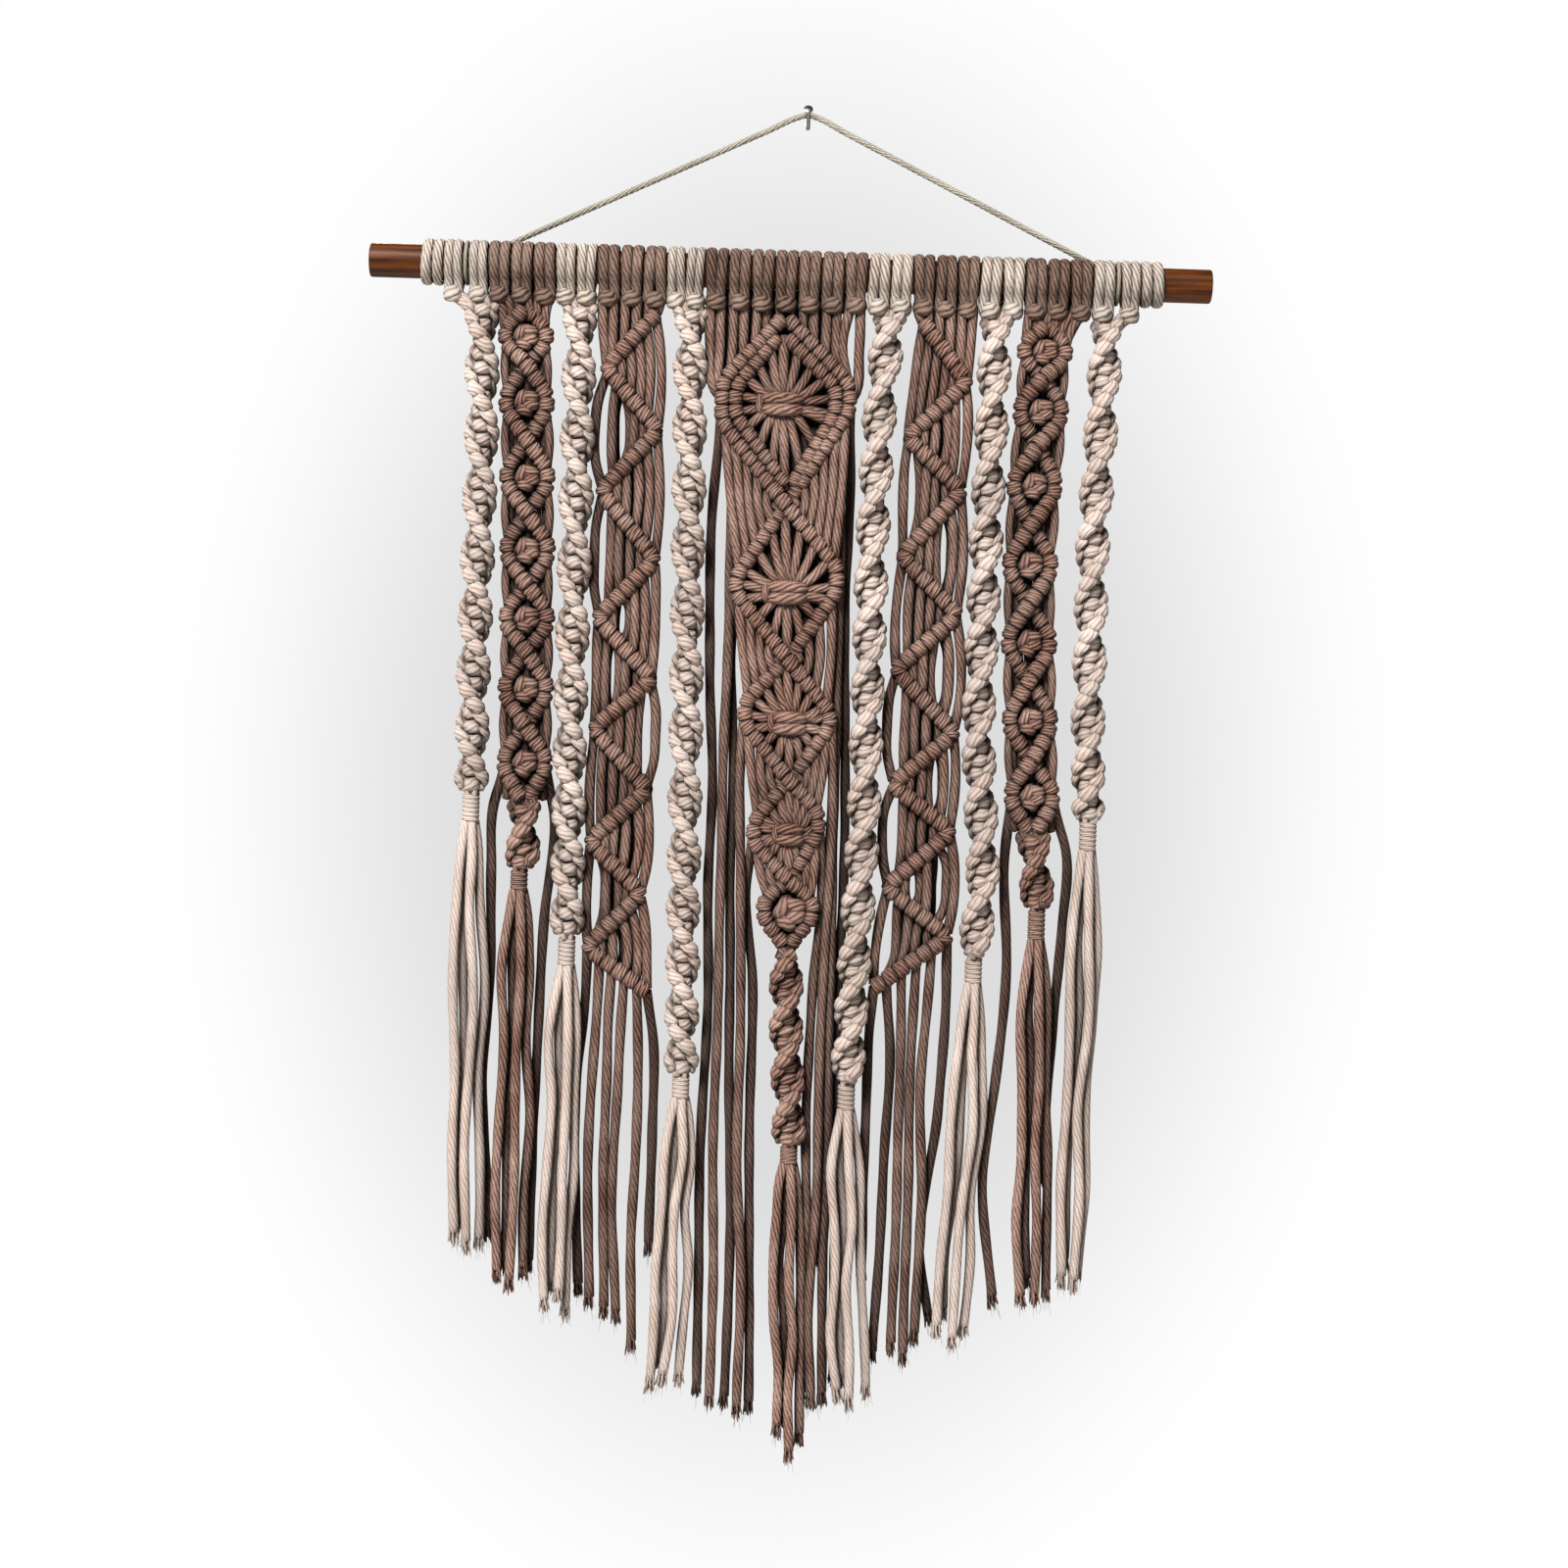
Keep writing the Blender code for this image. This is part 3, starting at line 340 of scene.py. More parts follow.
def fray(bag, line, seed):
    # a cut end: the yarns part, flare out and shed a few hairs
    wide = hang["cord"]
    tip = line[-1]
    along = unit(line[-1] - line[-3])
    side = unit(np.cross(along, front))
    out = np.cross(side, along)
    for k in range(fringe["yarns"] + fringe["hairs"]):
        hair = k >= fringe["yarns"]
        a = 2 * math.pi * (k * 0.382 + 0.1 * chance(seed + k))
        ring = (0.25, 0.62, 0.84)[k % 3]
        spread = wide * ring * (0.85 + 0.2 * chance(seed * 1.7 + k))
        long = (3.0 + 4.5 * chance(seed * 3.1 + k * 1.3)) * (1.6 if hair else 1)
        flare = wide * (0.05 + 0.32 * chance(seed * 2.2 + k * 0.7)) * (2.5 if hair else 1)
        axis = side * math.cos(a) + out * math.sin(a)
        twist = side * -math.sin(a) + out * math.cos(a)
        curl = 0.5 + chance(seed * 5.3 + k)
        points = [
            tip - along * 3 + axis * spread * 0.85,
            tip + axis * spread,
            tip + along * long * 0.5 + axis * (spread + flare * 0.35) + twist * flare * 0.4 * curl,
            tip + along * long + axis * (spread + flare) + twist * flare * curl,
        ]
        thin = fringe["hair" if hair else "yarn"]
        lay(bag, smoothLine(points, 2.4), thin, sides=3 if hair else 5,
            outward=axis, ends=(1.0, 0.35), part=1 / cottonLook["yarns"])


def makePiece(name, bag, node, slotName, material=None):
    # one mesh from a bag, in place in the frame
    points = (np.concatenate(bag.points) + np.array(hang["dowelMiddle"])) / 1000
    faces = np.concatenate(bag.quads).tolist() + np.concatenate(bag.tris).tolist()
    mesh = bpy.data.meshes.new(name)
    mesh.from_pydata(points.tolist(), [], faces)
    uv = np.concatenate(bag.quadUv + bag.triUv).astype(np.float32)
    mesh.uv_layers.new(name="cordLay").data.foreach_set("uv", uv.ravel())
    mesh.shade_smooth()
    mesh.materials.append(material or finishes[slotName])
    piece = bpy.data.objects.new(name, mesh)
    bpy.context.scene.collection.objects.link(piece)
    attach(piece, "root")
    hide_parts(node)
    return piece


def makeTurned(name, rings, node, slotName, crisp):
    # a round piece from its rings, with edges sharper than crisp degrees kept
    bag = Bag()
    bag.points.append(rings.reshape(-1, 3))
    bag.quads.append(ringQuads(*rings.shape[:2])[:, [1, 0, 3, 2]])
    bag.quadUv.append(np.zeros((bag.quads[0].size, 2)))
    piece = makePiece(name, bag, node, slotName)
    piece.data.set_sharp_from_angle(angle=math.radians(crisp))


dowel = {"length": 400.0, "radius": 8.0, "round": 0.9, "sides": 72}


def makeDowel():
    # turned round bar with eased ends
    half, r, e = dowel["length"] / 2, dowel["radius"], dowel["round"]
    profile = [(-half, 0.01), (-half, r - e)]
    profile += [(-half + e - e * math.cos(a), r - e + e * math.sin(a))
                for a in np.linspace(0.3, math.pi / 2, 5)]
    profile += [(x, r) for x in np.linspace(-half + 8, half - 8, 9)]
    profile += [(-x, radius) for x, radius in profile[6::-1]]
    angle = circle(dowel["sides"])
    ring = np.stack([0 * angle, -np.cos(angle), np.sin(angle)], -1)
    rings = np.array([np.array((x, hang["dowelY"], 0.0)) + ring * radius for x, radius in profile])
    makeTurned("dowelRod", rings, "dowel", "wood_oiled", 50)


nail = {"radius": 1.1, "head": 2.2, "length": 13.6, "tilt": 28.0, "sides": 32}


def makeNail():
    # wire nail with a flat head, cut off where it enters the wall
    tilt = math.radians(nail["tilt"])
    along = np.array((0, -math.cos(tilt), math.sin(tilt)))
    up = np.array((0, math.sin(tilt), math.cos(tilt)))
    side = np.array((1.0, 0, 0))
    end, r, head = nail["length"], nail["radius"], nail["head"]
    profile = [(0, r), (end - 1.9, r), (end - 1.3, 1.25), (end - 0.8, head * 0.97), (end - 0.65, head),
               (end - 0.15, head), (end, head * 0.9), (end + 0.02, 0.01)]
    angle = circle(nail["sides"])
    ring = side * np.cos(angle)[:, None] + up * np.sin(angle)[:, None]
    rows = [along * distance + ring * radius for distance, radius in profile]
    # the first row lies in the wall's plane
    rows[0] = np.stack([r * np.cos(angle), 0 * angle, r * np.sin(angle) / math.cos(tilt)], -1)
    rows.insert(0, rows[0] * 0.01)
    makeTurned("nailWire", np.array(rows) - np.array(hang["dowelMiddle"]), "nail", "steel", 40)


heading = {
    "start": -175,
    # end of each group, its number of turns, whether collars hold them, and its shade
    "groups": (
        (-164.5, 2, False, "cream"), (-153.9, 2, True, "cream"), (-143.3, 2, True, "cream"),
        (-111.2, 6, True, "mocha"), (-91.7, 4, True, "cream"), (-58.6, 6, True, "mocha"),
        (-40.5, 4, True, "cream"), (36.8, 14, True, "mocha"), (58.2, 4, True, "cream"),
        (89.8, 6, True, "mocha"), (111.2, 4, True, "cream"), (143.3, 6, True, "mocha"),
        (155.2, 2, True, "cream"), (166, 2, True, "cream"), (176.8, 2, False, "cream"),
    ),
    "turnRadius": 9.35,
    "turnThick": 1.75,
    "collarZ": -15.2,
    "foot": 15.5,  # the drop at which the cords leave the collars
    "loopAfter": (2, 13),  # groups that the hanging cord's end loop follows
    "loopRoom": 1.2,
}
legX = {}  # group number: where its cords leave the heading


def turnLine(x, held):
    y0, r = hang["dowelY"], heading["turnRadius"]
    sweep = np.radians(np.arange(-35, 200, 25) if held else np.arange(0, 375, 15))
    turn = [(x, y0 + r * math.cos(a), r * math.sin(a)) for a in sweep]
    if held:
        # up from the collar behind the dowel, over it and down its front into the collar
        turn = [(x, y0 - 2.5, -13.0), (x, y0 + 3.0, -r * 1.02), *turn,
                (x, y0 - r * 0.93, -r * 0.42), (x, y0 - r * 0.62, -r * 0.92), (x, y0 - 4.0, -16.5)]
    return smoothLine(turn, 1.8)


def makeCollar(bag, x, w):
    # the bar of a lark's head knot, w to each side of x
    z = heading["collarZ"] + 0.5 * (chance(x) - 0.5)
    path = ((-0.4, 4.6, 0.6), (-0.6, 2.2, 0.6), (-0.45, -0.8, 0.1), (0, -2.2, -0.4), (0.45, -0.8, 0),
            (0.6, 2.2, 0.6), (0.4, 4.6, 0.8))
    line = smoothLine([(x + w * a, b, z + c) for a, b, c in path], 1.2)
    out = line - np.array((x, 3.5, z))
    out[:, 2] = 0
    lay(bag, line, 4.1, 2.3, outward=unit(out), sides=12)


def makeHeading():
    start = heading["start"]
    for number, (end, turns, held, shade) in enumerate(heading["groups"], 1):
        low = start + (heading["loopRoom"] if number - 1 in heading["loopAfter"] else 0.0)
        high = end - (heading["loopRoom"] if number in heading["loopAfter"] else 0.0)
        bag = Bag()
        pitch = (high - low) / turns
        xs = [low + pitch * (i + 0.5) for i in range(turns)]
        for i, x in enumerate(xs):
            lean = 1.1 * (chance(number * 7 + i) - 0.5)
            # the two turns of one knot lie closer to each other
            x += 0.3 * (1 if i % 2 == 0 else -1) if held else 0.0
            line = turnLine(x, held)
            line[:, 0] += lean * line[:, 2] / 9
            out = line - np.array((0, hang["dowelY"], 0))
            out[:, 0] = 0
            lay(bag, line, pitch * 0.485, heading["turnThick"], outward=unit(out), flat=0.9)
        if held:
            for x0, x1 in zip(xs[::2], xs[1::2]):
                makeCollar(bag, (x0 + x1) / 2, pitch * 0.93)
            # the turns' backs close the slit above the collars
            for z in (-11.0, -15.5):
                lay(bag, smoothLine([(low + 1.5, 4.8, z), (high - 1.5, 4.8, z)], 4.0), 3.0, 2.0, sides=8)
        legX[number] = xs
        makePiece(f"heading{number:02d}", bag, f"heading_{number:02d}", "cotton_" + shade,
                  shadedCreamTurns if shade == "cream" else shadedMochaTurns)
        start = end


spirals = {
    # drops of the wide places, sense of the twist, spine as (x, drop), end of the binding
    "s1": {"shade": "cream", "sense": -1, "wide": (22.4, 50.7, 81, 110.3, 139.6, 167.1, 193.6, 221, 246.2),
           "spine": ((-145.9, 20), (-144.1, 81), (-144.4, 200), (-143.6, 251.3)), "neck": 265.2,
           "tips": ((-144.9, 466), (-139, 470), (-143, 461), (-133.3, 469)), "legs": (2, 3)},
    "s2": {"shade": "cream", "sense": -1,
           "wide": (22.8, 52.1, 81.4, 109.7, 142.3, 174.4, 203.7, 231.1, 258.1, 283.7, 309.3),
           "spine": ((-99.3, 20), (-98.4, 110), (-97.7, 220), (-96, 318.1)), "neck": 332.1,
           "tips": ((-101.2, 496.6), (-94.5, 492.2), (-99, 489), (-91.3, 501.3)), "legs": (5,)},
    "s3": {"shade": "cream", "sense": -1,
           "wide": (20.1, 47.6, 75.5, 103.8, 131.7, 162.9, 193.1, 219.6, 251.7, 279.2, 303.4, 328.9, 353.6,
                    375.9),
           "spine": ((-46.8, 20), (-45, 104), (-42.4, 240), (-39.8, 381.9)), "neck": 393.1,
           "tips": ((-49.8, 533), (-43.8, 529.6), (-47, 524), (-36.4, 530.8)), "legs": (7,)},
    "s4": {"shade": "cream", "sense": 1,
           "wide": (18, 38.5, 67.9, 93.1, 119.1, 147.5, 170.8, 197.3, 222.9, 251.7, 274.1, 300.6, 327.2,
                    348.7, 371.5),
           "spine": ((47.6, 20), (44.1, 68), (42.8, 125), (43, 260), (38.9, 383.6)), "neck": 396.1,
           "tips": ((38.7, 534.8), (44.6, 538.7), (42, 530), (52.6, 534.4)), "legs": (9,)},
    "s5": {"shade": "cream", "sense": 1,
           "wide": (17, 42.9, 70.9, 100.2, 124.4, 151.4, 175.1, 203.5, 229.1, 253.7, 280.2, 307.6),
           "spine": ((98.3, 20), (96.7, 125), (95.7, 215), (100.4, 282), (97.2, 322.2)), "neck": 334.2,
           "tips": ((85.1, 502.6), (92.5, 508.4), (88, 495), (98.2, 503.6)), "legs": (11,)},
    "s6": {"shade": "cream", "sense": 1, "wide": (17, 42.2, 72, 100, 125.5, 153, 179.5, 207.9, 233, 252),
           "spine": ((150.9, 20), (149.4, 72), (147.3, 125), (147.7, 208), (149.4, 255.3)), "neck": 269.7,
           "tips": ((143.4, 477.5), (149, 479), (145, 470), (151.2, 475.4)), "legs": (13, 14)},
    "s7": {"shade": "mocha", "sense": 1, "wide": (256, 279.3),
           "spine": ((-118.4, 257), (-118, 279.3), (-119.6, 286.8)), "neck": 297,
           "tips": ((-124, 483.2), (-118, 487.7), (-121, 480), (-112, 482)), "legs": ()},
    "s8": {"shade": "mocha", "sense": 1, "wide": (264, 288.2),
           "spine": ((123.5, 264.5), (126.1, 288.2), (126.4, 297.9)), "neck": 312.8,
           "tips": ((124.2, 487.4), (131, 486), (127, 480), (136.7, 485.1)), "legs": ()},
    "s9": {"shade": "mocha", "sense": 1, "wide": (338, 359.4, 382.2, 406.3),
           "spine": ((8.3, 323), (9.3, 359.4), (10.9, 382.2), (12.5, 413.8)), "neck": 422.6,
           "tips": ((10.9, 552.5), (17, 564.4), (13, 548), (21.7, 556.8)), "legs": ()},
}
spiralKnot = {
    "perHalfTurn": 4.1,
    "edge": 6.3,  # from the spine to the working cord at the edge
    "over": 2.3,  # from the spine to the working cord over the core
    "wide": 3.3,
    "thick": 2,
    "core": (2.7, 1.4),  # half width and thickness of the two pressed cords inside
    # the working cord that crosses in front, through one knot: out of the other's way at the
    # back of both edges. In the next knot it comes back behind the core, mirrored both ways.
    # across (share of edge), out (share of over), down (share of one knot)
    "path": ((-1.06, 0, 0), (-0.92, -0.42, 0.30), (-0.58, -0.10, 0.44), (-0.20, 1, 0.46),
             (0.20, 1, 0.54), (0.58, -0.10, 0.56), (0.92, -0.42, 0.70)),
}


def makeSpiral(name, row):
    bag = Bag()
    top, bottom = row["spine"][0][1], row["spine"][-1][1]
    wide = np.array(row["wide"], float)
    wide = np.append(wide, wide[-1] + (wide[-1] - wide[-2]))
    count = max(4, round((bottom - top) / (np.mean(np.diff(wide)) / spiralKnot["perHalfTurn"])))
    pitch = (bottom - top) / count
    edge, over = spiralKnot["edge"], spiralKnot["over"]

    def spin(a, b, drop):
        # from the braid's own width and face to the world, turned with the twist
        turns = np.interp(drop, wide, np.arange(len(wide)))
        first = np.minimum(drop - wide[0], 0) / (wide[1] - wide[0])
        angle = row["sense"] * np.pi * (turns + first)
        x = np.interp(drop, [d for _, d in row["spine"]], [x for x, _ in row["spine"]])
        return np.stack([x + (a * np.cos(angle) - b * np.sin(angle)),
                         -(a * np.sin(angle) + b * np.cos(angle)), -drop], -1)

    for cord in (0, 1):
        points = []
        for n in range(count):
            face = 1 if (n + cord) % 2 == 0 else -1
            points += [(a * face * edge * row["sense"], b * face * over, top + (n + s) * pitch)
                       for a, b, s in spiralKnot["path"]]
        across, out, down = smoothLine(points, 1.4).T
        placed = spin(across, out, down)
        lay(bag, placed, spiralKnot["wide"], spiralKnot["thick"], outward=unit(placed - spin(0, 0, down)))
    drops = np.arange(top, bottom + 2, 3.0)
    wideCore, thickCore = spiralKnot["core"]
    for a in (-wideCore, wideCore):
        line = spin(a, 0, drops)
        lay(bag, line, wideCore, thickCore, outward=spin(a, 1, drops) - line, sides=8)
    # the cords that come down from the heading, or from the column above
    xs = [x for group in row["legs"] for x in legX[group]]
    high = heading["foot"] if xs else top - 8
    xs = xs or [row["spine"][0][0] + x for x in (-5.0, -1.7, 1.7, 5.0)]
    for i, x in enumerate(xs):
        goal = spin((-1, -0.3, 0.3, 1)[i % 4] * 4.0, 0, top + 4.0)
        way = [(x, 0.6, -high), (x * 0.7 + goal[0] * 0.3, 0.2, -(high * 0.6 + top * 0.4)), goal]
        lay(bag, smoothLine(way, 1.8), 2.4, 2.0)
    makePiece("spiral" + name.upper(), bag, "spiral_" + name, "cotton_" + row["shade"])


# the gathering wrap: its pitch, its reach to the sides and to the front, and its cord
wrap = {"pitch": 2.3, "across": 3.15, "out": 3.0, "wide": 1.35, "thick": 1.1}


def makeNeck(name, row):
    # the wrap and the four cords in it
    bag = Bag()
    x, top = row["spine"][-1]
    bottom = row["neck"]
    turns = max(4, round((bottom - top) / wrap["pitch"]))
    t = np.linspace(0, 1, turns * 14 + 1)
    angle = 2 * np.pi * turns * t
    drop = top + 1.2 + (bottom - top - 1.6) * t
    line = np.stack([x + wrap["across"] * np.cos(angle), wrap["out"] * np.sin(angle), -drop], -1)
    out = np.stack([np.cos(angle), np.sin(angle), 0 * angle], -1)
    lay(bag, line, wrap["wide"], wrap["thick"], outward=out, sides=8)
    for a, b in ((-1.5, -1.4), (1.5, -1.4), (-1.5, 1.4), (1.5, 1.4)):
        lay(bag, smoothLine([(x + a, b, -top + 1.0), (x + a, b, -bottom - 0.3)], 3.0), 1.7, sides=6)
    makePiece("neck" + name.upper(), bag, "neck_" + name, "cotton_" + row["shade"])


def makeTassel(name, row):
    bag = Bag()
    x = row["spine"][-1][0]
    top = row["neck"]
    for i, (tipX, tipDrop) in enumerate(sorted(row["tips"])):
        seed = i * 3.3 + len(row["wide"]) + row["spine"][0][0] * 0.1
        far = (-2.2, 2.4, -2.6, 2.0)[i]
        points = []
        for share in (0.0, 0.06, 0.2, 0.4, 0.6, 0.8):
            fan = (i - 1.5) * (1.3 + 2.3 * min(1, share * 8)) * (1 - share ** 2)
            points.append((
                x + fan + (tipX - x) * share ** 1.4 + wobble(seed, share * 7, 1.1) * min(1, share * 3),
                top + 0.2 + (tipDrop - 5 - top) * share,
                far * (0.55 + 0.45 * min(1, share * 8)) + wobble(seed + 9, share * 5, 0.35) * share,
            ))
        points.append((tipX, tipDrop - 6, far))
        fray(bag, slack(bag, points, seed, 3.2, 2.4), seed + 0.5)
    makePiece("tassel" + name.upper(), bag, "tassel_" + name, "cotton_" + row["shade"])


# a double half hitch: room and radius of each wrap, its thickness, its slant, the leader's
# radius, and how much closer the two wraps of one cord lie
hitch = {"pitch": 3.3, "ring": 2.5, "thick": 1.6, "slant": 0.04, "leader": 2.6, "pair": 0.12}


def hitchRow(bag, points, fullness, seed, reach):
    # a leader with its hitches, two wraps for each cord. points are (x, drop, y).
    line = bentLine([place(*p) for p in points], 0.8, reach)
    run = runOf(line)
    lay(bag, line[::2], hitch["leader"] * fullness, sides=8)
    count = 2 * max(1, round(run[-1] / hitch["pitch"] / 2))
    pitch = run[-1] / count
    along = unit(np.gradient(line, axis=0))
    for k in range(3):
        along[:, k] = np.convolve(np.pad(along[:, k], 2, "edge"), np.ones(5) / 5, "valid")
    # each wrap starts and ends behind the leader
    angle = np.linspace(np.pi, 3 * np.pi, 17)
    for i in range(count):
        at = (i + 0.5 + (hitch["pair"] if i % 2 == 0 else -hitch["pair"])) * pitch
        c = np.array([np.interp(at, run, line[:, k]) for k in range(3)])
        t = unit(np.array([np.interp(at, run, along[:, k]) for k in range(3)]))
        n1 = unit(front - t * front.dot(t))
        n2 = np.cross(t, n1)
        lean = -n2[2] * 1.5 * (hitch["slant"] + 0.10 * (chance(seed + i) - 0.5))
        grow = fullness * (1 + 0.06 * (chance(seed * 2 + i * 1.9) - 0.5))
        r = hitch["ring"] * grow
        ring = n1 * np.cos(angle)[:, None] + n2 * np.sin(angle)[:, None]
        bight = c + ring * r + t * (lean * r * np.sin(angle))[:, None]
        lay(bag, bight, pitch * 0.6, hitch["thick"] * grow, outward=ring, flat=0.9)


def onPath(corners, x):
    # drop of a row at x, where it runs one way
    xs, drops = zip(*sorted(corner[:2] for corner in corners))
    return np.interp(x, xs, drops)


def dropEnd(bag, points, depth, seed):
    # a long loose end, from behind a row down to its frayed tip
    (x0, d0), (x1, d1) = points[:2]
    path = [(x0, d0, 0.5), ((x0 * 2 + x1) / 3, d0 + (d1 - d0) * 0.35, depth * 0.55)]
    path += [(x, d, depth) for x, d in points[1:]]
    long = path[:2]
    for a, b in zip(path[1:], path[2:]):
        pieces = max(1, round((b[1] - a[1]) / 60))
        for k in range(1, pieces + 1):
            x, d, y = between(a, b, k / pieces)
            sway = wobble(seed, k / pieces - b[1] / 30, 1.35) if k < pieces else 0
            long.append((x + sway, d, y))
    long[-1] = (long[-1][0], long[-1][1] - 6, long[-1][2])
    fray(bag, slack(bag, long, seed, 3.4), seed)


columns = {
    "left": {
        "crossings": ((-125.2, 21.4), (-124.1, 47.8), (-122.5, 84), (-121.3, 118.9), (-120.2, 152.8),
                      (-119.7, 184), (-119, 219.3), (-118.4, 254.2)),
        "leftEnd": ((-133.6, 257.5), (-133.6, 286.8), (-133.1, 345.4), (-134.6, 385), (-129.2, 465.3)),
        "rightEnd": ((-105, 260), (-107.5, 310), (-109.5, 384.2), (-109.8, 434), (-110.1, 480.1)),
        "legs": 4,
        "front": 1,  # 1 where the rows that fall to the right cross in front, -1 where they cross behind
    },
    "right": {
        "crossings": ((121.9, 21.4), (121.6, 46.3), (119.8, 78.5), (117.8, 116.7), (118.1, 153.9),
                      (119.2, 190.2), (121.4, 228.3), (123.4, 261.7)),
        "leftEnd": ((111.2, 270), (113.4, 327.7), (110.1, 382.2), (105.2, 430), (111.7, 489.7)),
        "rightEnd": ((139.8, 270), (139.6, 307.3), (135.6, 366.5), (134, 400), (133.1, 431.3)),
        "legs": 12,
        "front": -1,
    },
    "halfWidth": 9.6,
    "over": -2.4,
    "berry": 2.75,
}


def berryKnot(bag, x, drop, size, seed):
    # a square-knot button: fat loops crossing over a small core
    grow = size / columns["berry"]
    for dx, dz, turn, long in ((-2.3, 1.3, 62, 3.4), (1.7, 2.4, -14, 3.3), (1.9, -1.7, 12, 3.2),
                               (-0.8, -3.9, -22, 2.6)):
        a = math.radians(turn + 14 * (chance(seed + dx) - 0.5))
        c = np.array((x + dx * grow, 0.0, -drop + dz * grow))
        way = np.array((math.cos(a), 0, math.sin(a))) * (long * grow)
        loop = [c + way * s + (0, y, 0) for s, y in ((-1, 2.6), (-0.86, 0.2), (-0.4, -2.1),
                                                     (0.4, -2.2), (0.86, 0.2), (1, 2.6))]
        lay(bag, smoothLine(loop, 1.1), size, size * 0.78)


def makeColumn(name, row):
    bag = Bag()
    crossings, half, foot = row["crossings"], columns["halfWidth"], heading["foot"]
    middles = [((a[0] + b[0]) / 2, (a[1] + b[1]) / 2) for a, b in zip(crossings, crossings[1:])]
    for sense in (-1, 1):
        # each leader swings from side to side, in front at one crossing and behind at the next
        path = [(crossings[0][0], crossings[0][1] + 0.5, -1.3 * sense)]
        for n, (x, drop) in enumerate(middles):
            side = sense if n % 2 else -sense
            path += [(x + side * half, drop - 3.8, 0.3), (x + side * half, drop + 3.8, 0.3),
                     (*crossings[n + 1], columns["over"] * -side * row["front"])]
        path[-1] = (path[-1][0] + side * 1.2, path[-1][1], path[-1][2] * 0.5)
        hitchRow(bag, path, 0.97, 3 + sense, 3.6)
    for i, dx in enumerate((-8.4, -4.2, 0.0, 4.2, 8.4)):
        # the cords between the knots, seen dark behind them
        backCord(bag, [(x + dx, drop, 3.8) for x, drop in crossings], i, 2.4, 0.4)
    for n, (mx, md) in enumerate(middles):
        for side in (-1, 1) if n else ():
            # the cord that bridges outside from corner to corner
            px, pd = middles[n - 1]
            slack(bag, [(px + side * (half - 0.5), pd + 3, 1.5),
                        ((px + mx) / 2 + side * (half + 0.9), (pd + md) / 2, 1.0),
                        (mx + side * (half - 0.5), md - 3, 1.5)], n + side, 2.5, 2.1)
        berryKnot(bag, mx, md, columns["berry"], n)
    for i, x in enumerate(legX[row["legs"]]):
        share = (i - 2.5) / 2.5
        goalX = crossings[0][0] + share * half * 0.95
        goal = crossings[0][1] + 4 + abs(share) * 8
        slack(bag, [(x, foot, 0.3), ((x + goalX) / 2, foot + 4, 0.2), (goalX, goal, 0.8)], i, 2.0, 2.4, 0)
        backCord(bag, [(x - share * 2.6, foot, 4.4), (goalX - share * 2.6, goal + 3, 4.4)], i, 2.6)
    mx, md = middles[-1]
    for side, end in ((-1, row["leftEnd"]), (1, row["rightEnd"])):
        dropEnd(bag, ((mx + side * half, md + 1), *end), hang["behind"] - 1.4, 5 + side)
    makePiece("column" + name.capitalize(), bag, "column_" + name, "cotton_mocha")


zigzags = {
    "left": {
        "corners": ((-62.9, 21.4), (-86.4, 48.4), (-60.3, 77.3), (-86.8, 107), (-59.7, 138.7), (-86.7, 167.1),
                    (-59.3, 195.5), (-86.9, 219.7), (-59.9, 247.6), (-87, 273.2), (-61.1, 297),
                    (-86.8, 323.4), (-56.8, 343.9)),
        "ends": ((0.02, "behind", ((-87.2, 348), (-89.6, 382.2), (-86.1, 490.5))),
                 (0.22, "halfBehind", ((-81, 350), (-82.4, 388.4), (-80.3, 495.9))),
                 (0.42, "halfBehind", ((-75.5, 355), (-75.5, 385), (-73.2, 500.3))),
                 (0.62, "halfBehind", ((-69.3, 360), (-70, 385), (-67.5, 502.4))),
                 (0.82, "halfBehind", ((-61, 365), (-60.5, 420), (-59.6, 516.1))),
                 (0.98, "behind", ((-54, 365), (-53.2, 412.2), (-53, 470)))),
        "legs": 6,
        # gap number: places and widths where the light shows between the slack cords
        "windows": {1: ((-86.5, 3.4), (-78, 2.4)), 3: ((-86, 2.2),), 4: ((-75, 2.5),),
                    5: ((-79, 2.2),), 6: ((-61.8, 3.6),), 9: ((-83.3, 4.2),)},
    },
    "right": {
        "corners": ((63.3, 21.4), (85.5, 49.8), (57.9, 76.8), (84.7, 101.5), (56.9, 133.1), (84.7, 160.1),
                    (55.5, 187.2), (85, 216.4), (55.7, 241.6), (84.8, 263), (54.5, 290.5), (85, 313.2),
                    (49.6, 338.6)),
        "ends": ((0.02, "behind", ((85.5, 345), (83, 395.7), (77.1, 470.3), (81.3, 499))),
                 (0.22, "halfBehind", ((76, 350), (74.3, 383.4), (75, 508))),
                 (0.42, "halfBehind", ((69.5, 350), (69.7, 433.3), (69.8, 517.6))),
                 (0.62, "halfBehind", ((64, 360), (64.5, 425), (64, 513))),
                 (0.82, "behind", ((59, 365), (58.3, 421.1), (55.4, 518.5))),
                 (0.98, "behind", ((49, 360), (48.7, 408.9), (49, 480)))),
        "legs": 10,
        "windows": {2: ((61, 2.7),), 3: ((77, 2.6),), 5: ((76.6, 3.4),), 6: ((56.6, 3.4),),
                    7: ((76.3, 3),), 8: ((56.6, 3.8),), 9: ((67, 2.2), (80, 2.2)), 10: ((57, 2.4),)},
    },
    "slackShares": (0.02, 0.2, 0.38, 0.56, 0.73, 0.88),
}


def pushAside(x, windows):
    # keeps a cord out of the windows
    for middle, width in windows:
        room = width / 2 + hang["cord"]
        if abs(x - middle) < room:
            x = middle + (room if x >= middle else -room)
    return x


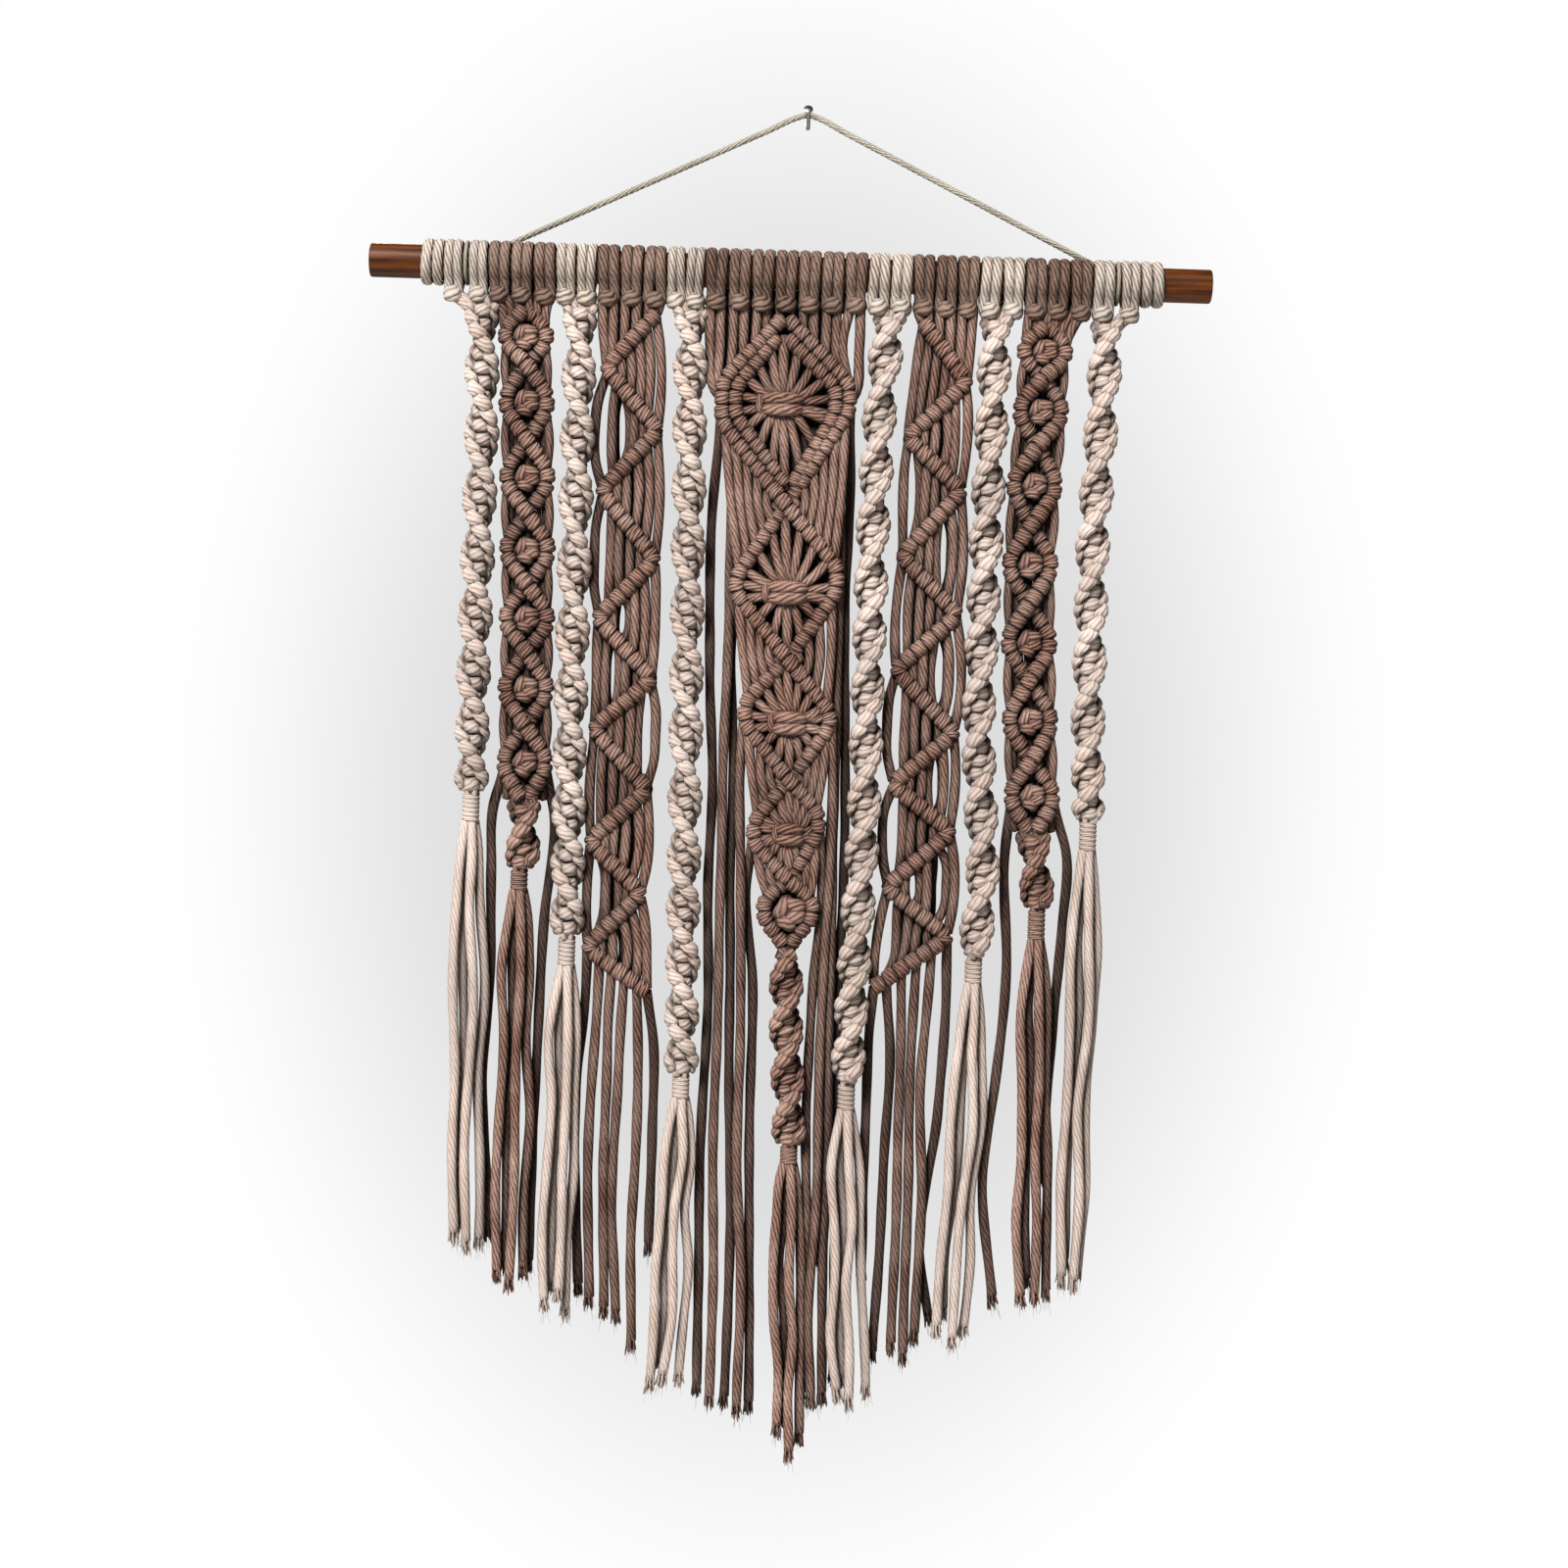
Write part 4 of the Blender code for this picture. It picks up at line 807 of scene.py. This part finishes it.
def makeZigzag(name, row):
    bag = Bag()
    corners, foot = row["corners"], heading["foot"]
    hitchRow(bag, [(x, drop, 0.0) for x, drop in corners], 1.0, row["legs"], 4.2)
    for n, (a, tip, b) in enumerate(zip(corners, corners[1:], corners[2:])):
        outwards = 1 if a[0] > tip[0] else -1
        for k, share in enumerate(zigzags["slackShares"]):
            high, low = between(a, tip, share), between(b, tip, share)
            gap = low[1] - high[1]
            bow = (0.3 + 1.7 * (1 - share)) * min(1, gap / 30) * (1 if outwards > 0 else -0.3)
            bow += 1.6 * (chance(n * 5 + k) - 0.5)
            for layer in (0, 1) if k else (0,):
                shift, deep = -2.4 * outwards * layer, 5.2 * layer
                points = [(high[0] + shift, high[1] + 1.5, 0.8 + deep)]
                for s in (0.25, 0.5, 0.75):
                    x = high[0] + (low[0] - high[0]) * s + bow * math.sin(math.pi * s) * 1.1 + shift
                    clear = pushAside(x, row["windows"].get(n, ()))
                    y = -0.2 + 0.6 * chance(n + k * 3) + deep + min(2.4, abs(clear - x))
                    points.append((x + (clear - x) * (1.0 if s == 0.5 else 0.8), high[1] + gap * s, y))
                points.append((low[0] + shift, low[1] - 1.5, 0.8 + deep))
                back = 0.8 if outwards > 0 else 2.8
                slack(bag, np.array(points) + (0, 0, back), n * 7 + k, 2.6, 2.5, 0.3, 10 - 2 * layer)
    a, b = corners[:2]
    for i, x in enumerate(legX[row["legs"]]):
        share = min(0.98, max(0.0, (x - a[0]) / (b[0] - a[0])))
        goalX, goal = between(a, b, share)
        slack(bag, [(x, foot, 0.3), ((x * 2 + goalX) / 3, (foot + goal) / 2, 0.3), (goalX, goal + 0.5, 0.8)],
              i, 2.2, 2.5, 0)
        if i:
            backCord(bag, [(x - 2.6, foot, 4.6), (goalX - 2.0, goal + 1, 4.6)], i)
    for i, (share, depth, places) in enumerate(row["ends"]):
        dropEnd(bag, (between(*corners[-2:], share), *places), hang[depth], i * 2.7 + row["legs"])
    makePiece("zigzag" + name.capitalize(), bag, "zigzag_" + name, "cotton_mocha")


centre = {
    # top, left side's x and drops, right side's x and drops, the knot's middle and half width
    "diamonds": (
        ((-1.9, 21.4), (-31, 52.7, 72.2), (30.3, 52.5, 65.6), (-1.7, 63.3), 10.6),
        ((1.3, 111), (-21.7, 145.4, 153.3), (27, 139.2, 151.8), (3.5, 152.5), 10),
        ((4.6, 184), (-15.5, 204.3, 215), (25.9, 208.6, 215.6), (6.5, 214.3), 8.4),
        ((7.3, 241.5), (-9.5, 260.5, 271.1), (22, 256.2, 265.5), (8.2, 266.9), 6.3),
        ((8.4, 288.8), (-3.7, 298, 307.3), (20.5, 298, 306.4), (9, 305), 4.5),
    ),
    "bottom": (8.5, 320),
    "inner": ((-2.9, 29), (-24.4, 55.6, 68.6), (23.4, 54.2, 66.8), (2.4, 102.5)),
    "berry": 3.6,  # half width of the cord of the last diamond's knot
    "rays": (0.02, 0.30, 0.60, 0.88),  # where a star's cords meet the rows, as shares of one row
    "windows": ((29, 1.9),),  # where the light shows beside the first rows
    "over": -2.4,
    "legs": 8,
    # ends that leave the diamonds' sides, with their depth
    "ends": (
        ("behind", ((-31, 70), (-33.6, 110), (-32.6, 190), (-29.6, 240), (-28.4, 336), (-27.8, 537))),
        ("halfBehind", ((-24, 83), (-24.5, 120), (-24.2, 190), (-24.6, 240), (-23.4, 336), (-21.5, 541))),
        ("behind", ((-21.7, 150), (-22.6, 180), (-19.8, 240), (-18.4, 336), (-14.6, 542.1))),
        ("halfBehind", ((-15.5, 212), (-16.4, 240), (-12.8, 336), (-12, 420.2), (-8.5, 545.6))),
        ("behind", ((-9.5, 269), (-12, 295), (-7.6, 336), (-6.6, 420), (-2.9, 544.1))),
        ("behind", ((30.3, 63), (31.6, 100), (32, 200), (33.6, 336), (37.1, 529.8))),
        ("halfBehind", ((24, 79), (27.2, 115), (28.2, 200), (29.5, 336), (31.8, 537.9))),
        ("behind", ((27, 148), (28.2, 180), (28, 240), (26.2, 336), (29, 474.3))),
        ("beside", ((25.9, 212), (28, 250), (26, 336), (26, 450), (26.6, 540))),
        ("halfBehind", ((22, 262), (24.4, 295), (21.6, 336), (22, 450), (22, 538))),
    ),
}


def starKnot(bag, knot, half):
    # two working cords across the bundle, held by a short upright one at their left
    x, drop = knot
    tall = min(2.7, half * 0.3 + 0.6)
    for side in (1, -1):
        dz = side * tall * 0.9
        line = smoothLine([(x - half, 1.2, -drop + dz * 0.7), (x - half * 0.75, -2.6, -drop + dz),
                           (x, -4.3, -drop + dz * 1.05), (x + half * 0.7, -2.6, -drop + dz * 0.9),
                           (x + half, 0.9, -drop + dz * 0.6)], 1.1)
        t = np.linspace(0, 1, len(line))
        lay(bag, line, tall * 1.08, 2.5, bulge=0.72 + 0.38 * np.sin(np.pi * t), ends=(0.7, 0.6), sides=12)
    a = x - half * 0.98
    path = ((1.0, 0.8, 1.9), (-0.3, -2.3, 1.1), (-0.7, -3.1, 0), (-0.3, -2.3, -1.1), (1.0, 0.8, -1.9))
    lay(bag, smoothLine([(a + dx, y, -drop + tall * s) for dx, y, s in path], 1.1), 1.9, 1.6)


def centreRows(bag, rows, tops):
    # the two leaders cross between the diamonds, one in front and then the other
    for sense in (-1, 1):
        path = [(tops[0][0] + sense * 1.0, tops[0][1] + 0.5, 0.8 * sense)]
        for n, (top, left, right, _, _) in enumerate(rows):
            side = sense if n % 2 == 0 else -sense
            x, d0, d1 = left if side < 0 else right
            x -= side * 0.5
            low = tops[n + 1]
            path += [(*between(top, (x, d0), 0.35), 0.3), (x, d0, 0.3), (x, d1, 0.3),
                     (*between((x, d1), low, 0.65), 0.2), (*low, centre["over"] * -side)]
        path[-1] = (path[-1][0] + side * 1.4, path[-1][1], 0.6 * side)
        hitchRow(bag, path, 0.95, 20 + sense, 4.5)


def diamondFill(bag, n, row, low):
    # the star: cords from the upper rows gather under the knot and spread to the lower ones
    top, left, right, knot, half = row
    shares = centre["rays"] if half > 5 else ()
    inset = 8.5 if n == 0 else 1.0
    for side, (x, d0, d1) in ((-1, left), (1, right)):
        edge = x - side * inset
        for k, share in enumerate(shares if side < 0 else shares[1:]):
            high = between((top[0], top[1] + inset), (edge, d0), share)
            far = between((low[0], low[1] - inset * 0.8), (edge, d1), share)
            pinch = (knot[0] + side * half * 0.5 * share, knot[1])
            bend = -0.6 - 0.9 * chance(k + n)
            y = -0.4 - 0.7 * (k % 2)
            slack(bag, [(*high, 1.3), (*between(high, pinch, 0.55), bend), (pinch[0], pinch[1] - 1, y),
                        (pinch[0], pinch[1] + 1, y), (*between(far, pinch, 0.55), bend), (*far, 1.3)],
                  k + n * 7, 2.2, 2.15 + 0.3 * chance(k * 3 + side), 0.1)
        # the knot's own cords reach the side, and more hang dark behind
        for shift in (-2.4, 2.4) if shares else ():
            slack(bag, [(knot[0] + side * half * 0.7, knot[1] + shift * 0.5, 0.2),
                        ((knot[0] + edge) / 2 + side * 3, knot[1] + shift, -0.4),
                        (edge - side, knot[1] + shift * 1.6, 1.4)], shift + n, 2.2, 2.3, 0)
        for k in range(round(abs(x - top[0]) / 4.6)):
            x1 = top[0] + side * (2.3 + 4.6 * k)
            backCord(bag, [(x1, onPath((top, (x, d0)), x1), 5.0), (x1, knot[1], 5.4),
                           (x1, onPath((low, (x, d1)), x1), 5.0)], k)
    if shares:
        starKnot(bag, knot, half)
    else:
        berryKnot(bag, knot[0], knot[1] - 1.4, centre["berry"], n)


def makeCentre():
    bag = Bag()
    rows, foot = centre["diamonds"], heading["foot"]
    tops = [row[0] for row in rows] + [centre["bottom"]]
    centreRows(bag, rows, tops)
    for n, row in enumerate(rows):
        diamondFill(bag, n, row, tops[n + 1])
    # second row inside the first diamond
    top, left, right, low = centre["inner"]
    for side, (x, d0, d1) in ((-1, left), (1, right)):
        hitchRow(bag, ((top[0] + side * 2.0, top[1] + 2.0, 0.3), (x, d0, 0.2), (x, d1, 0.2),
                       (low[0] + side * 1.6, low[1] - 1, 0.3)), 0.93, 70 + side, 4.5)
    # cords from the heading to the first rows, with a darker layer behind them
    top, left, right = rows[0][:3]
    for i, x in enumerate(legX[centre["legs"]]):
        edge = (left if x < top[0] else right)[:2]
        inside = abs(x) < abs(edge[0])
        drop = onPath((top, edge), x) if inside else edge[1] + 4
        goalX = x if inside else edge[0] + (x - edge[0]) * 0.45
        x += 0.35 * (1 if i % 2 == 0 else -1)
        clear = pushAside(x, centre["windows"])
        path = [(x, foot, 0.8), (clear, (foot + drop) / 2, 1.8), (goalX, drop + 0.5, 1.6)]
        if abs(x) >= abs(edge[0]):
            path.append((edge[0] * 0.95, edge[1] + 9, 4.0))
        slack(bag, path, i, 2.5, 2.5, 0.1)
        backCord(bag, np.array(path) + (0 if x > 26 else -2.6 if x > 0 else 2.6, 0, 4.4), i + 5, sway=0.1)
    for x in (-6.0, -2.0, 2.0):
        backCord(bag, [(x, 22.0, 4.4), (x * 0.8 - 0.4, 38.0, 4.8), (x * 0.3, 60.0, 4.6)], x)
    # nested slack cords beside each crossing
    for n, (upper, lower) in enumerate(zip(rows, rows[1:])):
        cross = lower[0]
        for side, above, below in ((-1, upper[1], lower[1]), (1, upper[2], lower[2])):
            top, low = above[::2], below[:2]
            count = round(abs(top[0] - cross[0]) / 5.2)
            for k in range(count):
                share = (k + 0.45) / count
                a, b = between(top, cross, share), between(low, cross, share)
                bow = side * (0.6 + 2.0 * share)
                path = [(a[0], a[1] + 1, 1.0), ((a[0] + b[0]) / 2 + bow, (a[1] + b[1]) / 2, 0.2),
                        (b[0], b[1] - 1, 1.0)]
                slack(bag, path, n * 3 + k, 2.0, 2.4, 0.05)
                if k:
                    backCord(bag, np.array(path) + (-side * 2.4, 0, 4.2), n * 3 + k, 2.4, 0.05)
    for i, (depth, points) in enumerate(centre["ends"]):
        dropEnd(bag, points, hang[depth], i * 0.3 + 40)
    makePiece("columnCentre", bag, "column_centre", "cotton_mocha")


hanger = {
    "radius": 1.5,
    "plies": 3,
    "plyTurn": 8.5,  # millimetres for each turn of the plies
    "sides": 24,
    # side, its way from the nail, x, the knot's turn towards the wall
    "loops": (("left", -1, -153.9, 75.0), ("right", 1, 155.2, 63.0)),
    "loopRadius": 9.5,
    "knotReach": 12.9,
    "knotGap": 2.2,
    "nailDepth": 4.0,
    "apexUp": 5.35,
    "shoulder": (4.0, -1.1),
}


def makeLoop(side, axis, knot):
    # end loop round the dowel, tied with an overhand knot
    bag = Bag()
    t = np.linspace(0, 2 * np.pi, 33)
    out = np.stack([0 * t, np.sin(t), np.cos(t)], -1)
    lay(bag, out * hanger["loopRadius"] + axis, 0.95, 1.2, outward=out)
    t = np.linspace(0, 2 * np.pi, 49)
    tie = np.stack([np.sin(t) + 2 * np.sin(2 * t), -np.sin(3 * t), np.cos(t) - 2 * np.cos(2 * t)], -1)
    tie = tie * np.array((0.52, 0.62, 0.52)) + knot
    lay(bag, tie, 0.85, sides=8, outward=unit(tie - knot + (0, 0.01, 0)))
    lay(bag, smoothLine([knot * 0.25 + axis * 0.75, knot], 1.0), 0.9, sides=8)
    return makePiece("hangerLoop" + side.capitalize(), bag, "hanger_loop_" + side, "cotton_natural")


def makeHanger():
    middle = np.array(hang["dowelMiddle"])
    apex = np.array((0, -hanger["nailDepth"], hanger["apexUp"])) - middle
    arms, loops = [], []
    for side, way, x, turn in hanger["loops"]:
        a, reach = math.radians(turn), hanger["knotReach"]
        axis = np.array((x, hang["dowelY"], 0))
        knot = np.array((x, hang["dowelY"] + reach * math.sin(a), reach * math.cos(a)))
        shoulder = apex + np.array((way * hanger["shoulder"][0], 0, hanger["shoulder"][1]))
        arms.append((knot + unit(apex - knot) * hanger["knotGap"], shoulder))
        loops.append(makeLoop(side, axis, knot))
    left, right = arms
    route = [left[0], *(between(*left, share) for share in np.linspace(0.1, 1.0, 10)), apex,
             *(between(*right[::-1], share) for share in np.linspace(0.0, 1.0, 11))]
    line = smoothLine(route, 0.55)
    # three plies twisted together, as one lobed tube
    bag = Bag()
    lay(bag, line, hanger["radius"], sides=hanger["sides"])
    run = runOf(line)[:, None]
    twist = circle(hanger["sides"]) - 2 * np.pi * run / hanger["plyTurn"]
    lobes = 0.80 + 0.2 * np.abs(np.cos(hanger["plies"] / 2 * twist))
    tube = bag.points[0].reshape(len(line), -1, 3) - line[:, None]
    bag.points[0] = (line[:, None] + tube * lobes[:, :, None]).reshape(-1, 3)
    piece = makePiece("hangerCord", bag, "hanger", "cotton_natural")


makeHeading()
print("heading ready")
for name, row in spirals.items():
    makeSpiral(name, row)
    makeNeck(name, row)
    makeTassel(name, row)
print("spirals ready")
for side in ("left", "right"):
    makeColumn(side, columns[side])
for side in ("left", "right"):
    makeZigzag(side, zigzags[side])
makeCentre()
print("columns ready")
makeDowel()
makeNail()
makeHanger()


studio = {
    "target": (-0.00125, -0.019, -0.316),
    "distance": 1.3,
    "lens": 62.9,
    "roll": 1.85,  # the camera leans a little
    "floor": -1.75,
    # name, place, size in metres, watts
    "lights": (
        ("keyLight", (-1.05, -2.25, 1.75), 0.9, 162),
        ("fillLight", (1.9, -1.6, 0.1), 1.0, 3),
        ("backLight", (-0.9, 2.2, 0.7), 0.9, 80),
    ),
    "ambient": 0.065,
}


def makeBackdrop(scene):
    # white, with a painted grey shadow behind the work
    scene.world = bpy.data.worlds.new("studioWorld")
    scene.world.use_nodes = True
    tree = scene.world.node_tree
    add = partial(addNode, tree)
    sky = add(tree.nodes["Background"], {"Color": hexColour("#f4f3f2"), "Strength": studio["ambient"]})
    # painted shadow: grey in an oval round the work, by direction, for camera rays only
    oval = add("Mapping", {"Scale": (1.0, 0.0, 0.72), 0: add("TexCoord").outputs["Generated"]})
    away = add("VectorMath", {"operation": "LENGTH", 0: oval}).outputs["Value"]
    paintedShadowHalo = add("MapRange", {"interpolation_type": "SMOOTHSTEP", 0: away, 1: 0.09, 2: 0.23, 3: 0.72, 4: 1.0})
    white = add("Background", {"Strength": 1.0, "Color": paintedShadowHalo})
    seen = add("LightPath").outputs["Is Camera Ray"]
    add(tree.nodes["World Output"], {"Surface": add("MixShader", {0: seen, 1: sky, 2: white})})


def makeStudio():
    scene = bpy.context.scene
    camera = bpy.data.objects.new("camera", bpy.data.cameras.new("camera"))
    camera.data.lens = studio["lens"]
    camera.data.sensor_width = 36
    camera.data.clip_end = 50
    target = Vector(studio["target"])
    turn = Matrix.Rotation(math.radians(90), 4, "X") @ Matrix.Rotation(math.radians(studio["roll"]), 4, "Z")
    camera.matrix_world = Matrix.Translation(target + Vector((0, -studio["distance"], 0))) @ turn
    scene.collection.objects.link(camera)
    scene.camera = camera
    scene.view_settings.view_transform = "Standard"

    for name, spot, size, power in studio["lights"]:
        data = bpy.data.lights.new(name, "AREA")
        data.size = size
        data.energy = power
        light = bpy.data.objects.new(name, data)
        light.location = spot
        light.rotation_euler = (target - Vector(spot)).to_track_quat("-Z", "Y").to_euler()
        scene.collection.objects.link(light)

    makeBackdrop(scene)

    mesh = bpy.data.meshes.new("floor")
    mesh.from_pydata([(-3, -3, 0), (3, -3, 0), (3, 3, 0), (-3, 3, 0)], [], [(0, 1, 2, 3)])
    floor = bpy.data.objects.new("floor", mesh)
    floor.location = (0, 0, studio["floor"])
    mesh.materials.append(newMaterial("palePaper", {"Base Color": hexColour("#eeece9"), "Roughness": 0.9})[0])
    scene.collection.objects.link(floor)


makeStudio()
print("studio ready")
